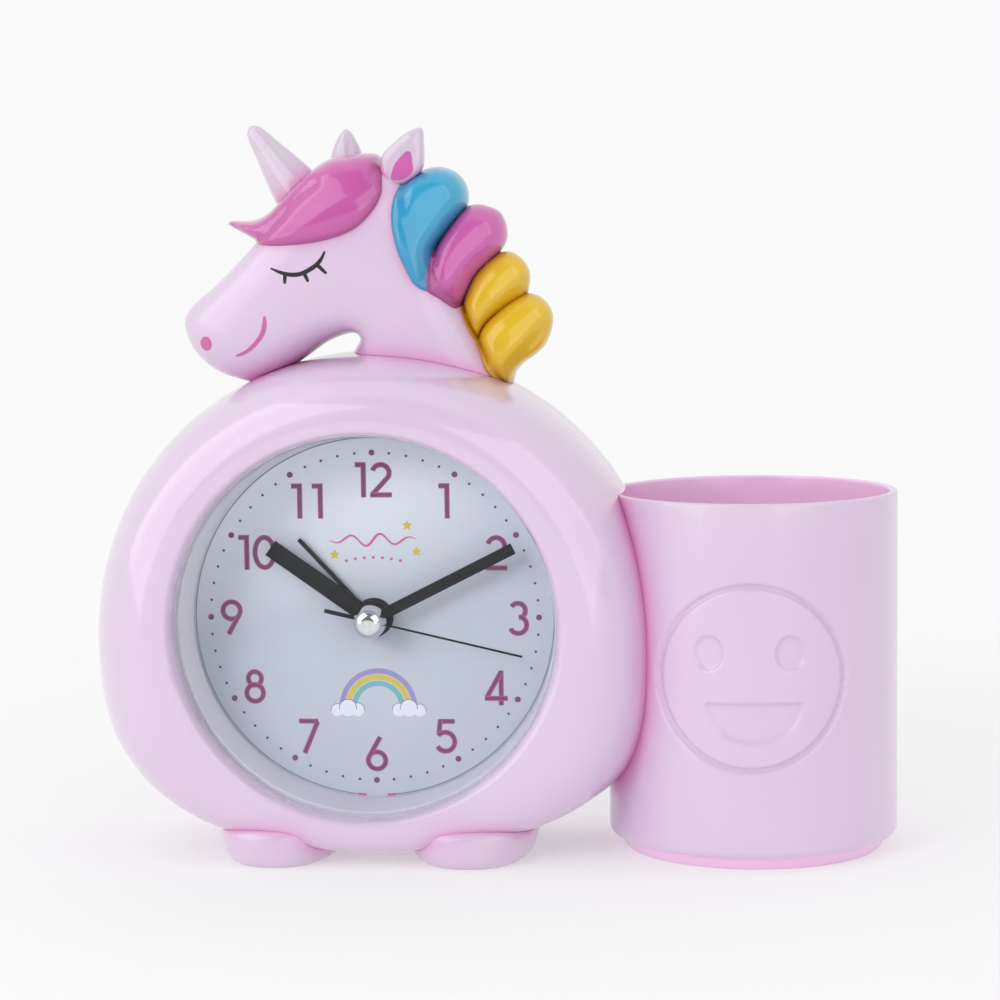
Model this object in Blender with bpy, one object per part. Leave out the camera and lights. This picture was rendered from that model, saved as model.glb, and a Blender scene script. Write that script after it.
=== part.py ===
"""Pen holder clock with a one-horned horse's head on its body.

Metres, +Z up, and the front faces -Y.  Everything is placed in the clock
frame: the table is z = 0, the two body shells meet on y = 0, and x = 0 is
the middle of the clock body.  One empty then moves that frame so that the
world origin lies under the middle of the whole object.

Angles of the clock train are bearings in the XZ plane as the front shows
them, counted from +X towards +Z.
"""
import math

import bmesh
import bpy
import numpy as np
from mathutils import Matrix, Vector
from mathutils.bvhtree import BVHTree
from mathutils.geometry import delaunay_2d_cdt

# Clearances
SEAT_GAP = 0.0003
RUN_GAP = 0.0002
FIT_GAP = 0.0001
CUT_OVERRUN = 0.001
MERGE = 0.000001

# Clock body: a rounded box whose outline is two half superellipses
BODY_HALF_WIDTH = 0.0642
BODY_TOP_RISE = 0.0658
BODY_BOTTOM_DROP = 0.0429
BODY_GROUND_GAP = 0.0018
BODY_TOP_POWER = 2.04
BODY_BOTTOM_POWER = 2.49
BODY_SIDE_POWER = 2.2
BODY_UNDERSIDE_POWER = 4.0
BODY_FRONT_DEPTH = 0.033
BODY_REAR_DEPTH = 0.021
BODY_REAR_ROUND = 0.011
BODY_REAR_POWER = 2.6
BODY_WALL = 0.0022
CROWN_SHARE = 0.6
BODY_STEPS = 46
SIDE_STEPS = 4
LIP_STEPS = 2

# Dial opening, lens and dial
DIAL_RISE = 0.0076
LIP_RADIUS = 0.0416
LIP_DEPTH = 0.0294
REBATE_RADIUS = 0.0435
REBATE_DEPTH = 0.0273
REBATE_WALL = 0.002
LENS_THICK = 0.0015
RING_WALL = 0.0009
RING_FRONT_RADIUS = 0.041
RING_DIAL_RADIUS = 0.0404
RING_FLANGE = 0.001
DIAL_FACE_DEPTH = 0.012
DIAL_THICK = 0.0008
ROUND_STEPS = 38

# Shell screws and their posts
SHELL_SCREW_PLACES = ((-0.038, -0.0382), (0.038, -0.0382), (-0.0395, 0.0362), (0.0395, 0.0362))
FRONT_POST_RADIUS = 0.0034
REAR_POST_RADIUS = 0.0046
SCREW_SEAT_DEPTH = 0.012
SCREW_HEAD_RADIUS = 0.0027
SCREW_HEAD_THICK = 0.0018
SCREW_SHANK_RADIUS = 0.0011
SCREW_REACH = 0.02
SCREW_SHOULDER_SHARE = 0.5
SCREW_CROWN_SHARE = 0.7
SCREW_STEPS = 12

# Pen cup
CUP_RADIUS = 0.032
CUP_DIAL_ROOM = 0.00309
CUP_HEIGHT = 0.0793
CUP_WALL = 0.0018
CUP_STEP_HEIGHT = 0.0029
CUP_RING_RADIUS = 0.0298
CUP_RING_WALL = 0.002
CUP_FLOOR = 0.002
CUP_EDGE = 0.0009
CUP_STEPS = 40
CUP_SCREW_HEIGHTS = (0.025, 0.06)
CUP_SCREW_BEARING = math.radians(158)
CUP_SCREW_REACH = 0.0072
CUP_POST_LENGTH = 0.009

# Smiling face engraved in the cup
FACE_HEIGHT = 0.04195
FACE_RING_RADIUS = 0.0198
FACE_GROOVE_WIDTH = 0.0011
FACE_DEPTH = 0.0006
FACE_STEPS = 28
EYE_OFFSET = 0.0088
EYE_RISE = 0.0054
EYE_HALF_WIDTH = 0.003
EYE_HALF_HEIGHT = 0.0037
EYE_STEPS = 10
MOUTH_HALF_WIDTH = 0.0104
MOUTH_TOP_DROP = 0.0054
MOUTH_DEPTH = 0.0086
MOUTH_STEPS = 8

# Feet
FOOT_OFFSET = 0.0231
FOOT_HALF_WIDTH = 0.0132
FOOT_FRONT = 0.034
FOOT_LENGTH = 0.046
FOOT_HEIGHT = 0.009
FOOT_POWER = 2.4
FOOT_STEPS = 20
FOOT_LEVEL_SHARES = ((0, 0.2), (0.08, 0.1), (0.24, 0.02), (0.45, 0), (0.7, 0.06), (0.86, 0.17), (1, 0.36))

# Horse's head.  HEAD_SPAN is the height of the horn's tip over the body, and
# the outlines are shares of it: across from the body's middle, and up from
# its top.
HEAD_SPAN = 0.05
HEAD_HALF_DEPTH = 0.0145
HEAD_WALL = 0.002
HEAD_EDGE_SPACING = 0.0042
HEAD_FACE_SPACING = 0.0055
PUFF_EDGE = 0.0003
HEAD_OUTLINE_SHARES = (
    (-0.864, 0.134), (-0.848, 0.18), (-0.806, 0.226), (-0.736, 0.282), (-0.652, 0.36), (-0.552, 0.462),
    (-0.488, 0.54), (-0.416, 0.635), (-0.34, 0.7), (-0.25, 0.757), (-0.116, 0.81), (0.03, 0.83),
    (0.1, 0.815), (0.16, 0.76), (0.23, 0.65), (0.27, 0.51), (0.32, 0.37), (0.39, 0.21), (0.47, 0.05),
    (0.56, -0.1), (0.6, -0.2), (0.54, -0.3), (0.2, -0.27), (-0.06, -0.2), (-0.11, -0.1), (-0.108, -0.02),
    (-0.082, 0.03), (-0.064, 0.062), (-0.085, 0.08), (-0.14, 0.075), (-0.226, 0.04), (-0.32, -0.025),
    (-0.41, -0.085), (-0.5, -0.125), (-0.564, -0.134), (-0.628, -0.118), (-0.686, -0.1), (-0.754, -0.06),
    (-0.812, -0.002), (-0.85, 0.066))
LOBE_HALF_DEPTH = 0.0105
LOBE_BLEND_POWER = 2.5
LOBE_EDGE_SPACING = 0.0038
LOBE_FACE_SPACING = 0.0044
MANE_BLUE_SHARES = (
    (0.16, 0.77), (0.224, 0.802), (0.292, 0.812), (0.358, 0.79), (0.402, 0.744), (0.418, 0.688),
    (0.412, 0.634), (0.39, 0.59), (0.336, 0.514), (0.294, 0.448), (0.276, 0.37), (0.268, 0.282),
    (0.242, 0.274), (0.198, 0.304), (0.16, 0.372), (0.124, 0.46), (0.104, 0.56), (0.104, 0.638), (0.124, 0.716))
MANE_MAGENTA_SHARES = (
    (0.39, 0.625), (0.456, 0.645), (0.51, 0.634), (0.556, 0.61), (0.582, 0.56), (0.588, 0.498), (0.568, 0.45),
    (0.524, 0.398), (0.46, 0.334), (0.42, 0.256), (0.388, 0.196), (0.362, 0.194), (0.308, 0.236),
    (0.25, 0.28), (0.25, 0.37), (0.27, 0.46), (0.31, 0.53))
MANE_YELLOW_UPPER_SHARES = (
    (0.53, 0.425), (0.598, 0.435), (0.654, 0.4), (0.686, 0.344), (0.682, 0.276), (0.665, 0.242), (0.58, 0.176),
    (0.504, 0.11), (0.464, 0.046), (0.424, 0.09), (0.395, 0.168), (0.385, 0.224), (0.41, 0.31), (0.46, 0.38))
MANE_YELLOW_LOWER_SHARES = (
    (0.655, 0.25), (0.72, 0.24), (0.764, 0.204), (0.786, 0.154), (0.78, 0.088), (0.752, 0.022),
    (0.706, -0.024), (0.656, -0.058), (0.62, -0.102), (0.604, -0.154), (0.56, -0.142), (0.504, -0.088),
    (0.474, -0.01), (0.452, 0.06), (0.48, 0.13), (0.56, 0.2))
FORELOCK_SHARES = (
    (-0.662, 0.572), (-0.646, 0.584), (-0.578, 0.582), (-0.522, 0.592), (-0.462, 0.626), (-0.414, 0.676),
    (-0.344, 0.744), (-0.274, 0.806), (-0.192, 0.854), (-0.112, 0.868), (-0.032, 0.876), (0.024, 0.862),
    (0.05, 0.8), (0.06, 0.738), (0.058, 0.694), (0.034, 0.64), (-0.012, 0.584), (-0.068, 0.54),
    (-0.148, 0.508), (-0.25, 0.486), (-0.364, 0.476), (-0.454, 0.476), (-0.516, 0.486), (-0.584, 0.524),
    (-0.644, 0.556))
FORELOCK_HALF_DEPTH = 0.0095
EAR_NEAR_SHARES = (
    (0.05, 0.86), (0.1, 0.916), (0.156, 0.96), (0.2, 0.98), (0.228, 0.978), (0.236, 0.936),
    (0.232, 0.81), (0.166, 0.74), (0.09, 0.73), (0.046, 0.77))
EAR_NEAR_OFFSET = 0.006
EAR_SPACING = 0.0022
EAR_NEAR_HALF_DEPTH = 0.003
EAR_FAR_BASE_SHARES = (-0.14, 0.74)
EAR_FAR_TIP_SHARES = (-0.142, 0.985)
EAR_FAR_OFFSET = 0.006
EAR_FAR_RADIUS = 0.004
HORN_BASE_SHARES = (-0.29, 0.64)
HORN_TIP_SHARES = (-0.556, 1.0)
HORN_RADIUS = 0.0062
HORN_PROFILE_SHARES = ((0, 1), (0.25, 0.9), (0.5, 0.7), (0.72, 0.5), (0.88, 0.36), (0.965, 0.22), (1, 0))
EAR_PROFILE_SHARES = ((0, 1), (0.35, 0.97), (0.62, 0.78), (0.82, 0.5), (0.95, 0.24), (1, 0))
CONE_STEPS = 14

# Movement case
CASE_HALF_WIDTH = 0.03
CASE_HALF_HEIGHT = 0.028
CASE_CORNER = 0.003
CASE_CORNER_STEPS = 3
CASE_WALL = 0.0016
CASE_REAR_DEPTH = 0.0095
CASE_SPLIT_DEPTH = 0.002
CASE_RIB = 0.0009
CASE_NECK_RADIUS = 0.004
CASE_NECK_REACH = 0.0006
CASE_BUSH_RADIUS = 0.0029
CASE_POST_RADIUS = 0.002
CASE_POST_INSET = 0.0028
TUNNEL_WALL = 0.002
TUNNEL_GAP = 0.0004
TUNNEL_LIP = 0.0011
TUNNEL_LIP_THICK = 0.002

# Depths of the train's layers behind the case's front wall
LAYER_THICK = 0.0009
ALARM_LAYER = -0.0089
HOUR_LAYER = -0.0075
MINUTE_LAYER = -0.0061
PLATE_LAYER = -0.0048
PLATE_THICK = 0.001
CENTRE_LAYER = -0.0033
THIRD_LAYER = -0.0019
SECOND_LAYER = -0.0004
INTERMEDIATE_LAYER = 0.0012
MAGNET_LAYER = 0.0030
MAGNET_THICK = 0.0026

# Gear train
TOOTH_RISE_SHARE = 0.8
TOOTH_DROP_SHARE = 1.2
ALARM_MODULE = 0.00055
ALARM_TEETH = 36
ALARM_PINION_TEETH = 16
ALARM_BEARING = math.radians(38)
HOUR_MODULE = 0.0005
HOUR_TEETH = 40
HOUR_PINION_TEETH = 10
MINUTE_TEETH = 36
CANNON_TEETH = 12
MINUTE_BEARING = math.radians(150)
CENTRE_MODULE = 0.00027
CENTRE_TEETH = 64
THIRD_TEETH = 60
THIRD_BEARING = math.radians(90)
LEAF_COUNT = 8
SECOND_MODULE = 0.0004
SECOND_TEETH = 40
INTERMEDIATE_MODULE = 0.00035
INTERMEDIATE_TEETH = 48
INTERMEDIATE_BEARING = math.radians(-10)

# Arbors and pipes
SECOND_ARBOR_RADIUS = 0.0005
CENTRE_PIPE_RADII = (0.00075, 0.00125)
HOUR_PIPE_RADII = (0.00145, 0.00195)
ALARM_TUBE_RADII = (0.00215, 0.0027)
FINE_ARBOR_RADIUS = 0.0004
KNOB_ARBOR_RADIUS = 0.0008
PIVOT_DEPTH = 0.0008
ARBOR_STEPS = 10
PIPE_STEPS = 16
MAGNET_RADIUS = 0.003

# Hands, from the dial outwards
ALARM_HAND_DEPTH = 0.0139
HOUR_HAND_DEPTH = 0.0156
MINUTE_HAND_DEPTH = 0.0173
SECOND_HAND_DEPTH = 0.0186
HAND_THICK = 0.0008
SECOND_HAND_THICK = 0.0004
HAND_BOSS_RADIUS = 0.0041
MINUTE_BOSS_RADIUS = 0.0034
SECOND_BOSS_RADIUS = 0.0013
ALARM_HAND_ANGLE = math.radians(317)
ALARM_HAND_LENGTH = 0.0239
ALARM_HAND_WIDTH = 0.0009
HOUR_HAND_ANGLE = math.radians(305.25)
HOUR_HAND_LENGTH = 0.0274
HOUR_HAND_WIDTH = 0.0038
MINUTE_HAND_ANGLE = math.radians(63.2)
MINUTE_HAND_LENGTH = 0.0352
MINUTE_HAND_WIDTH = 0.0025
SECOND_HAND_ANGLE = math.radians(103.1)
SECOND_HAND_LENGTH = 0.0342
SECOND_HAND_WIDTH = 0.00045
SECOND_TAIL_LENGTH = 0.0104
SECOND_TAIL_WIDTH = 0.0009
CAP_RADIUS = 0.00365
CAP_HEIGHT = 0.0046
CAP_BORE_DEPTH = 0.001
CAP_STEPS = 5

# Drive and electrics
COIL_RADIUS = 0.0035
COIL_LENGTH = 0.013
COIL_START = 0.0025
COIL_RISE = 0.0205
COIL_FLANGE = 0.0007
STATOR_THICK = 0.001
STATOR_LAYER = 0.0038
STATOR_WIDTH = 0.0096
STATOR_HALF_NECK = 0.0028
BOARD_THICK = 0.001
BOARD_WIDTH = 0.011
BOARD_LOW = -0.010
BOARD_HIGH = 0.008
BUZZER_RADIUS = 0.007
BUZZER_THICK = 0.0007
BUZZER_PLACE = (-0.0195, 0.0165)
BATTERY_RADIUS = 0.0071
BATTERY_LENGTH = 0.0492
BATTERY_NUB_RADIUS = 0.00275
BATTERY_NUB_LENGTH = 0.0013
BATTERY_DEPTH = 0.001
BATTERY_GAP = 0.0003
CONTACT_THICK = 0.0004
CONTACT_HEIGHT = 0.010
CONTACT_WIDTH = 0.009

# Battery door, knobs and alarm switch on the back
DOOR_THICK = 0.0014
DOOR_PIN_RADIUS = 0.0004
DOOR_PIN_LENGTH = 0.0009
DOOR_EAR_WIDTH = 0.0017
DOOR_BARREL_STEPS = 12
KNOB_RADIUS = 0.0064
KNOB_LENGTH = 0.0072
KNOB_GROOVE = 0.0005
KNOB_FLUTES = 18
KNOB_LIFT = 0.0005
KNOB_BORE_DEPTH = 0.005
SWITCH_PLACE = (-0.0195, -0.0062)
SWITCH_TRAVEL = 0.004
SWITCH_STEM_WIDTH = 0.003
SWITCH_STEM_HEIGHT = 0.0024
SWITCH_CAP_WIDTH = 0.0065
SWITCH_CAP_HEIGHT = 0.0045
SWITCH_CAP_THICK = 0.0015
SWITCH_TAB_THICK = 0.0006

# Places that follow from the sizes above
BODY_CENTRE_Z = BODY_GROUND_GAP + BODY_BOTTOM_DROP
BODY_TOP_Z = BODY_CENTRE_Z + BODY_TOP_RISE
DIAL_Z = BODY_CENTRE_Z + DIAL_RISE
CUP_OFFSET = REBATE_RADIUS + REBATE_WALL + CUP_DIAL_ROOM + BODY_WALL + SEAT_GAP + CUP_RADIUS
CASE_FRONT = -DIAL_FACE_DEPTH + DIAL_THICK + SEAT_GAP
CASE_FRONT_INNER = CASE_FRONT + CASE_WALL
CASE_REAR_INNER = CASE_REAR_DEPTH - CASE_WALL
BATTERY_Z = -CASE_HALF_HEIGHT + CASE_WALL + BATTERY_GAP + BATTERY_RADIUS
RIB_TOP = BATTERY_Z + BATTERY_RADIUS + BATTERY_GAP + CASE_RIB
DOOR_AXIS_Z = BATTERY_Z - BATTERY_RADIUS - BATTERY_GAP - DOOR_THICK / 2
DOOR_AXIS_Y = CASE_REAR_DEPTH + SEAT_GAP + DOOR_THICK / 2
MINUTE_DISTANCE = HOUR_MODULE * (HOUR_TEETH + HOUR_PINION_TEETH) / 2
MINUTE_MODULE = 2 * MINUTE_DISTANCE / (MINUTE_TEETH + CANNON_TEETH)
ALARM_DISTANCE = ALARM_MODULE * (ALARM_TEETH + ALARM_PINION_TEETH) / 2
THIRD_DISTANCE = CENTRE_MODULE * (CENTRE_TEETH + LEAF_COUNT) / 2
THIRD_MODULE = 2 * THIRD_DISTANCE / (THIRD_TEETH + LEAF_COUNT)
INTERMEDIATE_DISTANCE = SECOND_MODULE * (SECOND_TEETH + LEAF_COUNT) / 2
ROTOR_DISTANCE = INTERMEDIATE_MODULE * (INTERMEDIATE_TEETH + LEAF_COUNT) / 2


def polar(distance, bearing, start=(0, 0)):
    """A point in the XZ plane at a distance and bearing from another."""
    return (start[0] + distance * math.cos(bearing), start[1] + distance * math.sin(bearing))


ARBOR_PLACE = (0, 0)
ALARM_PLACE = polar(ALARM_DISTANCE, ALARM_BEARING)
MINUTE_PLACE = polar(MINUTE_DISTANCE, MINUTE_BEARING)
THIRD_PLACE = polar(THIRD_DISTANCE, THIRD_BEARING)
INTERMEDIATE_PLACE = polar(INTERMEDIATE_DISTANCE, INTERMEDIATE_BEARING)
ROTOR_PLACE = polar(ROTOR_DISTANCE, INTERMEDIATE_BEARING, INTERMEDIATE_PLACE)

PINK = (0.80, 0.64, 0.78)
PALE_PINK = (0.86, 0.74, 0.85)
MAGENTA = (0.58, 0.13, 0.38)
BLUE = (0.11, 0.45, 0.70)
YELLOW = (0.78, 0.50, 0.03)
BLACK = (0.012, 0.012, 0.016)
DIAL_GREY = (0.55, 0.60, 0.66)
CASE_BLACK = (0.02, 0.02, 0.022)
STEEL = (0.62, 0.62, 0.64)
BRASS = (0.70, 0.50, 0.22)
WHITE_NYLON = (0.80, 0.80, 0.77)
COPPER = (0.60, 0.25, 0.11)
BOARD_GREEN = (0.05, 0.20, 0.09)
CLEAR = (0.9, 0.93, 0.95)
SWITCH_PINK = (0.75, 0.3, 0.5)
FERRITE = (0.15, 0.15, 0.16)
BATTERY_GREY = (0.18, 0.2, 0.24)
CREASE_ANGLE = math.radians(35)


# Solids as bmeshes

def from_rings(rings, closed=False):
    """Skin rings of equal count; the ends are capped, or the last ring joins the first."""
    bm = bmesh.new()
    rows = [[bm.verts.new(point) for point in ring] for ring in rings]
    pairs = list(zip(rows, rows[1:]))
    if closed:
        pairs.append((rows[-1], rows[0]))
    count = len(rows[0])
    for low, high in pairs:
        for i in range(count):
            j = (i + 1) % count
            bm.faces.new((low[i], low[j], high[j], high[i]))
    if not closed:
        bm.faces.new(rows[0])
        bm.faces.new(rows[-1])
    bmesh.ops.recalc_face_normals(bm, faces=bm.faces)
    return bm


def turned(profile, steps, bearing=0):
    """Turn (radius, height) points a full circle about Z; a loop of points makes a ring."""
    bm = bmesh.new()
    verts = [bm.verts.new((radius, 0, height)) for radius, height in profile]
    edges = [bm.edges.new(pair) for pair in zip(verts, verts[1:])]
    if min(radius for radius, _ in profile) > 0:
        edges.append(bm.edges.new((verts[-1], verts[0])))
    bmesh.ops.spin(bm, geom=verts + edges, cent=(0, 0, 0), axis=(0, 0, 1), angle=math.tau, steps=steps)
    bmesh.ops.remove_doubles(bm, verts=bm.verts, dist=MERGE)
    bmesh.ops.dissolve_degenerate(bm, edges=bm.edges, dist=MERGE)
    bmesh.ops.recalc_face_normals(bm, faces=bm.faces)
    if bearing:
        bmesh.ops.rotate(bm, verts=bm.verts, cent=(0, 0, 0), matrix=Matrix.Rotation(bearing, 3, 'Z'))
    return bm


def turned_along_y(profile, steps, place=(0, 0)):
    """Turn (radius, y) points about the line along Y through a place in the XZ plane."""
    bm = turned([(radius, -y) for radius, y in profile], steps)
    bmesh.ops.rotate(bm, verts=bm.verts, cent=(0, 0, 0), matrix=Matrix.Rotation(math.pi / 2, 3, 'X'))
    bmesh.ops.translate(bm, verts=bm.verts, vec=(place[0], 0, place[1]))
    return bm


def disc(radius, front, rear, steps=PIPE_STEPS, place=(0, 0)):
    """A plain cylinder along Y from front to rear."""
    return turned_along_y(((0, front), (radius, front), (radius, rear), (0, rear)), steps, place)


def tube(inner, outer, front, rear, steps=PIPE_STEPS, place=(0, 0)):
    """A pipe along Y from front to rear."""
    return turned_along_y(((inner, front), (outer, front), (outer, rear), (inner, rear)), steps, place)


def prism(outline, front, rear):
    """Extrude an outline in the XZ plane along Y."""
    rings = [[(x, y, z) for x, z in outline] for y in (front, rear)]
    return from_rings(rings)


def block(low, high):
    """An upright box between two corners."""
    (x0, y0, z0), (x1, y1, z1) = low, high
    return prism(((x0, z0), (x1, z0), (x1, z1), (x0, z1)), y0, y1)


def rounded_box(half_width, half_height, corner, steps=CASE_CORNER_STEPS):
    """The outline of a rectangle with round corners, about the arbor."""
    points = []
    for quarter in range(4):
        across = 1 if quarter in (0, 3) else -1
        up = 1 if quarter in (0, 1) else -1
        centre = (across * (half_width - corner), up * (half_height - corner))
        for step in range(steps + 1):
            points.append(polar(corner, (quarter + step / steps) * math.pi / 2, centre))
    return points


def toothed(teeth, module, phase, front, rear, place):
    """A wheel's rim of plain pointed teeth, as a prism along Y."""
    pitch_radius = teeth * module / 2
    outline = []
    for tooth in range(teeth):
        bearing = phase + math.tau * tooth / teeth
        outline.append(polar(pitch_radius + TOOTH_RISE_SHARE * module, bearing, place))
        outline.append(polar(pitch_radius - TOOTH_DROP_SHARE * module, bearing + math.pi / teeth, place))
    return prism(outline, front, rear)


def temporary(bm):
    """Put a bmesh on an unnamed object for the time of one cut."""
    mesh = bpy.data.meshes.new("solid")
    bm.to_mesh(mesh)
    item = bpy.data.objects.new("solid", mesh)
    bpy.context.scene.collection.objects.link(item)
    return item


def combine(base, tools, operation):
    """Cut or join solids with exact Booleans."""
    items = [temporary(bm) for bm in [base] + list(tools)]
    for tool in items[1:]:
        change = items[0].modifiers.new("change", 'BOOLEAN')
        change.operation = operation
        change.solver = 'EXACT'
        change.object = tool
    graph = bpy.context.evaluated_depsgraph_get()
    mesh = bpy.data.meshes.new_from_object(items[0].evaluated_get(graph))
    result = bmesh.new()
    result.from_mesh(mesh)
    for item in items:
        data = item.data
        bpy.data.objects.remove(item)
        bpy.data.meshes.remove(data)
    bpy.data.meshes.remove(mesh)
    return result


def cut(base, *tools):
    """What is left of a solid once the others are taken from it."""
    return combine(base, tools, 'DIFFERENCE')


def join(base, *others):
    """One solid from several that overlap."""
    return combine(base, others, 'UNION')


def largest_piece(bm):
    """Merge what a cut leaves doubled, and drop the crumbs beside the main piece."""
    bmesh.ops.remove_doubles(bm, verts=bm.verts, dist=MERGE)
    bmesh.ops.dissolve_degenerate(bm, edges=bm.edges, dist=MERGE)
    loose = [edge for edge in bm.edges if not edge.link_faces]
    bmesh.ops.delete(bm, geom=loose, context='EDGES')
    left = set(bm.verts)
    pieces = []
    while left:
        seed = left.pop()
        piece = {seed}
        front = [seed]
        while front:
            vert = front.pop()
            for edge in vert.link_edges:
                other = edge.other_vert(vert)
                if other not in piece:
                    piece.add(other)
                    front.append(other)
        left -= piece
        pieces.append(piece)
    main = max(pieces, key=len)
    bmesh.ops.delete(bm, geom=[vert for vert in bm.verts if vert not in main], context='VERTS')
    return bm


def grown(bm, amount):
    """A copy of a solid with its skin moved out, or in where the amount is negative."""
    copy = bm.copy()
    copy.normal_update()
    moves = [(vert, vert.normal * amount) for vert in copy.verts]
    for vert, move in moves:
        vert.co += move
    return copy


# Objects

def finish_for(name, colour, roughness, metallic=0.0):
    """The piece's own plain material."""
    material = bpy.data.materials.new(name)
    material.use_nodes = True
    shader = material.node_tree.nodes["Principled BSDF"]
    shader.inputs["Base Color"].default_value = (*colour, 1)
    shader.inputs["Roughness"].default_value = roughness
    shader.inputs["Metallic"].default_value = metallic
    return material


def add(name, bm, colour, roughness, metallic=0.0, origin=(0, 0, 0), turn=0.0):
    """Make the named object with its origin at a point; turn is clockwise about Y."""
    centre = Vector(origin)
    bmesh.ops.translate(bm, verts=bm.verts, vec=-centre)
    mesh = bpy.data.meshes.new(name)
    bm.to_mesh(mesh)
    bm.free()
    mesh.shade_smooth()
    mesh.set_sharp_from_angle(angle=CREASE_ANGLE)
    mesh.materials.append(finish_for(name, colour, roughness, metallic))
    item = bpy.data.objects.new(name, mesh)
    item.location = centre
    item.rotation_euler = (0, turn, 0)
    item.parent = bpy.data.objects["clock_frame"]
    bpy.context.scene.collection.objects.link(item)
    return item


def at_dial(bm):
    """Raise a solid made about the arbor to the dial's centre."""
    bmesh.ops.translate(bm, verts=bm.verts, vec=(0, 0, DIAL_Z))
    return bm


def arbor_point(place=(0, 0)):
    """The joint axis through a place beside the arbor."""
    return (place[0], 0, DIAL_Z + place[1])


# Body shells

def body_ring(y, inset=0.0):
    """The body's outline at a depth, drawn in by an inset."""
    ring = []
    for step in range(BODY_STEPS):
        turn = math.tau * step / BODY_STEPS
        across, up = math.cos(turn), math.sin(turn)
        half_height = (BODY_TOP_RISE if up > 0 else BODY_BOTTOM_DROP) - inset
        power = BODY_TOP_POWER if up > 0 else BODY_BOTTOM_POWER
        reach = (abs(across / (BODY_HALF_WIDTH - inset)) ** power + abs(up / half_height) ** power) ** (-1 / power)
        ring.append(Vector((reach * across, y, BODY_CENTRE_Z + reach * up)))
    return ring


def dial_ring_points(outline, radius, y):
    """Points round the dial's centre, one for each point of the body's outline."""
    ring = []
    for point in outline:
        bearing = math.atan2(point.z - DIAL_Z, point.x)
        x, z = polar(radius, bearing, (0, DIAL_Z))
        ring.append(Vector((x, y, z)))
    return ring


def front_rings(inset, depth, inner_radius, inner_y):
    """Rings from the outline over the crown to a circle round the dial."""
    outline = body_ring(0, inset)
    circle = dial_ring_points(outline, inner_radius, inner_y)
    rings = []
    for step in range(1, SIDE_STEPS + 1):
        angle = math.pi / 2 * step / SIDE_STEPS
        ring = []
        for low, high in zip(outline, circle):
            down = max(0, (BODY_CENTRE_Z - low.z) / BODY_BOTTOM_DROP)
            power = BODY_SIDE_POWER + (BODY_UNDERSIDE_POWER - BODY_SIDE_POWER) * down ** 2
            share = CROWN_SHARE * (1 - math.cos(angle) ** (2 / power))
            y = -depth * math.sin(angle) ** (2 / power)
            ring.append(Vector((low.x + (high.x - low.x) * share, y, low.z + (high.z - low.z) * share)))
        rings.append(ring)
    for step in range(1, LIP_STEPS + 1):
        angle = math.pi / 2 * step / LIP_STEPS
        share = CROWN_SHARE + (1 - CROWN_SHARE) * math.sin(angle)
        y = -depth + (depth + inner_y) * (1 - math.cos(angle))
        ring = []
        for low, high in zip(outline, circle):
            ring.append(Vector((low.x + (high.x - low.x) * share, y, low.z + (high.z - low.z) * share)))
        rings.append(ring)
    return rings


def rear_rings(inset, depth):
    """Rings from the outline round the rear edge to the flat back."""
    rings = []
    for step in range(1, SIDE_STEPS + 1):
        angle = math.pi / 2 * step / SIDE_STEPS
        round_in = BODY_REAR_ROUND * (1 - math.cos(angle) ** (2 / BODY_REAR_POWER))
        rings.append(body_ring(depth * math.sin(angle) ** (2 / BODY_REAR_POWER), inset + round_in))
    return rings


def body_blob(grow):
    """The whole body as one closed solid, grown by a gap, to cut what sits on it."""
    front = front_rings(-grow, BODY_FRONT_DEPTH + grow, LIP_RADIUS, -LIP_DEPTH)
    rear = rear_rings(-grow, BODY_REAR_DEPTH + grow)
    return from_rings(list(reversed(front)) + [body_ring(0, -grow)] + rear)


def clear_of_cup(rings):
    """Draw rings of the cavity back behind the wall that faces the cup."""
    radius = CUP_RADIUS + SEAT_GAP + BODY_WALL
    top = CUP_HEIGHT + SEAT_GAP + BODY_WALL
    for ring in rings:
        for point in ring:
            if point.z < top and abs(point.y) < radius:
                point.x = min(point.x, CUP_OFFSET - math.sqrt(radius ** 2 - point.y ** 2))
    return rings


def cup_cutter():
    """The space that the cup takes from the body."""
    radius = CUP_RADIUS + SEAT_GAP
    top = CUP_HEIGHT + SEAT_GAP
    bm = turned(((0, -CUT_OVERRUN), (radius, -CUT_OVERRUN), (radius, top), (0, top)), CUP_STEPS)
    bmesh.ops.translate(bm, verts=bm.verts, vec=(CUP_OFFSET, 0, 0))
    return bm


def post(place, radius, front, rear):
    """A screw post, or the bore for one, beside the dial."""
    return at_dial(disc(radius, front, rear, SCREW_STEPS, place))


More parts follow.
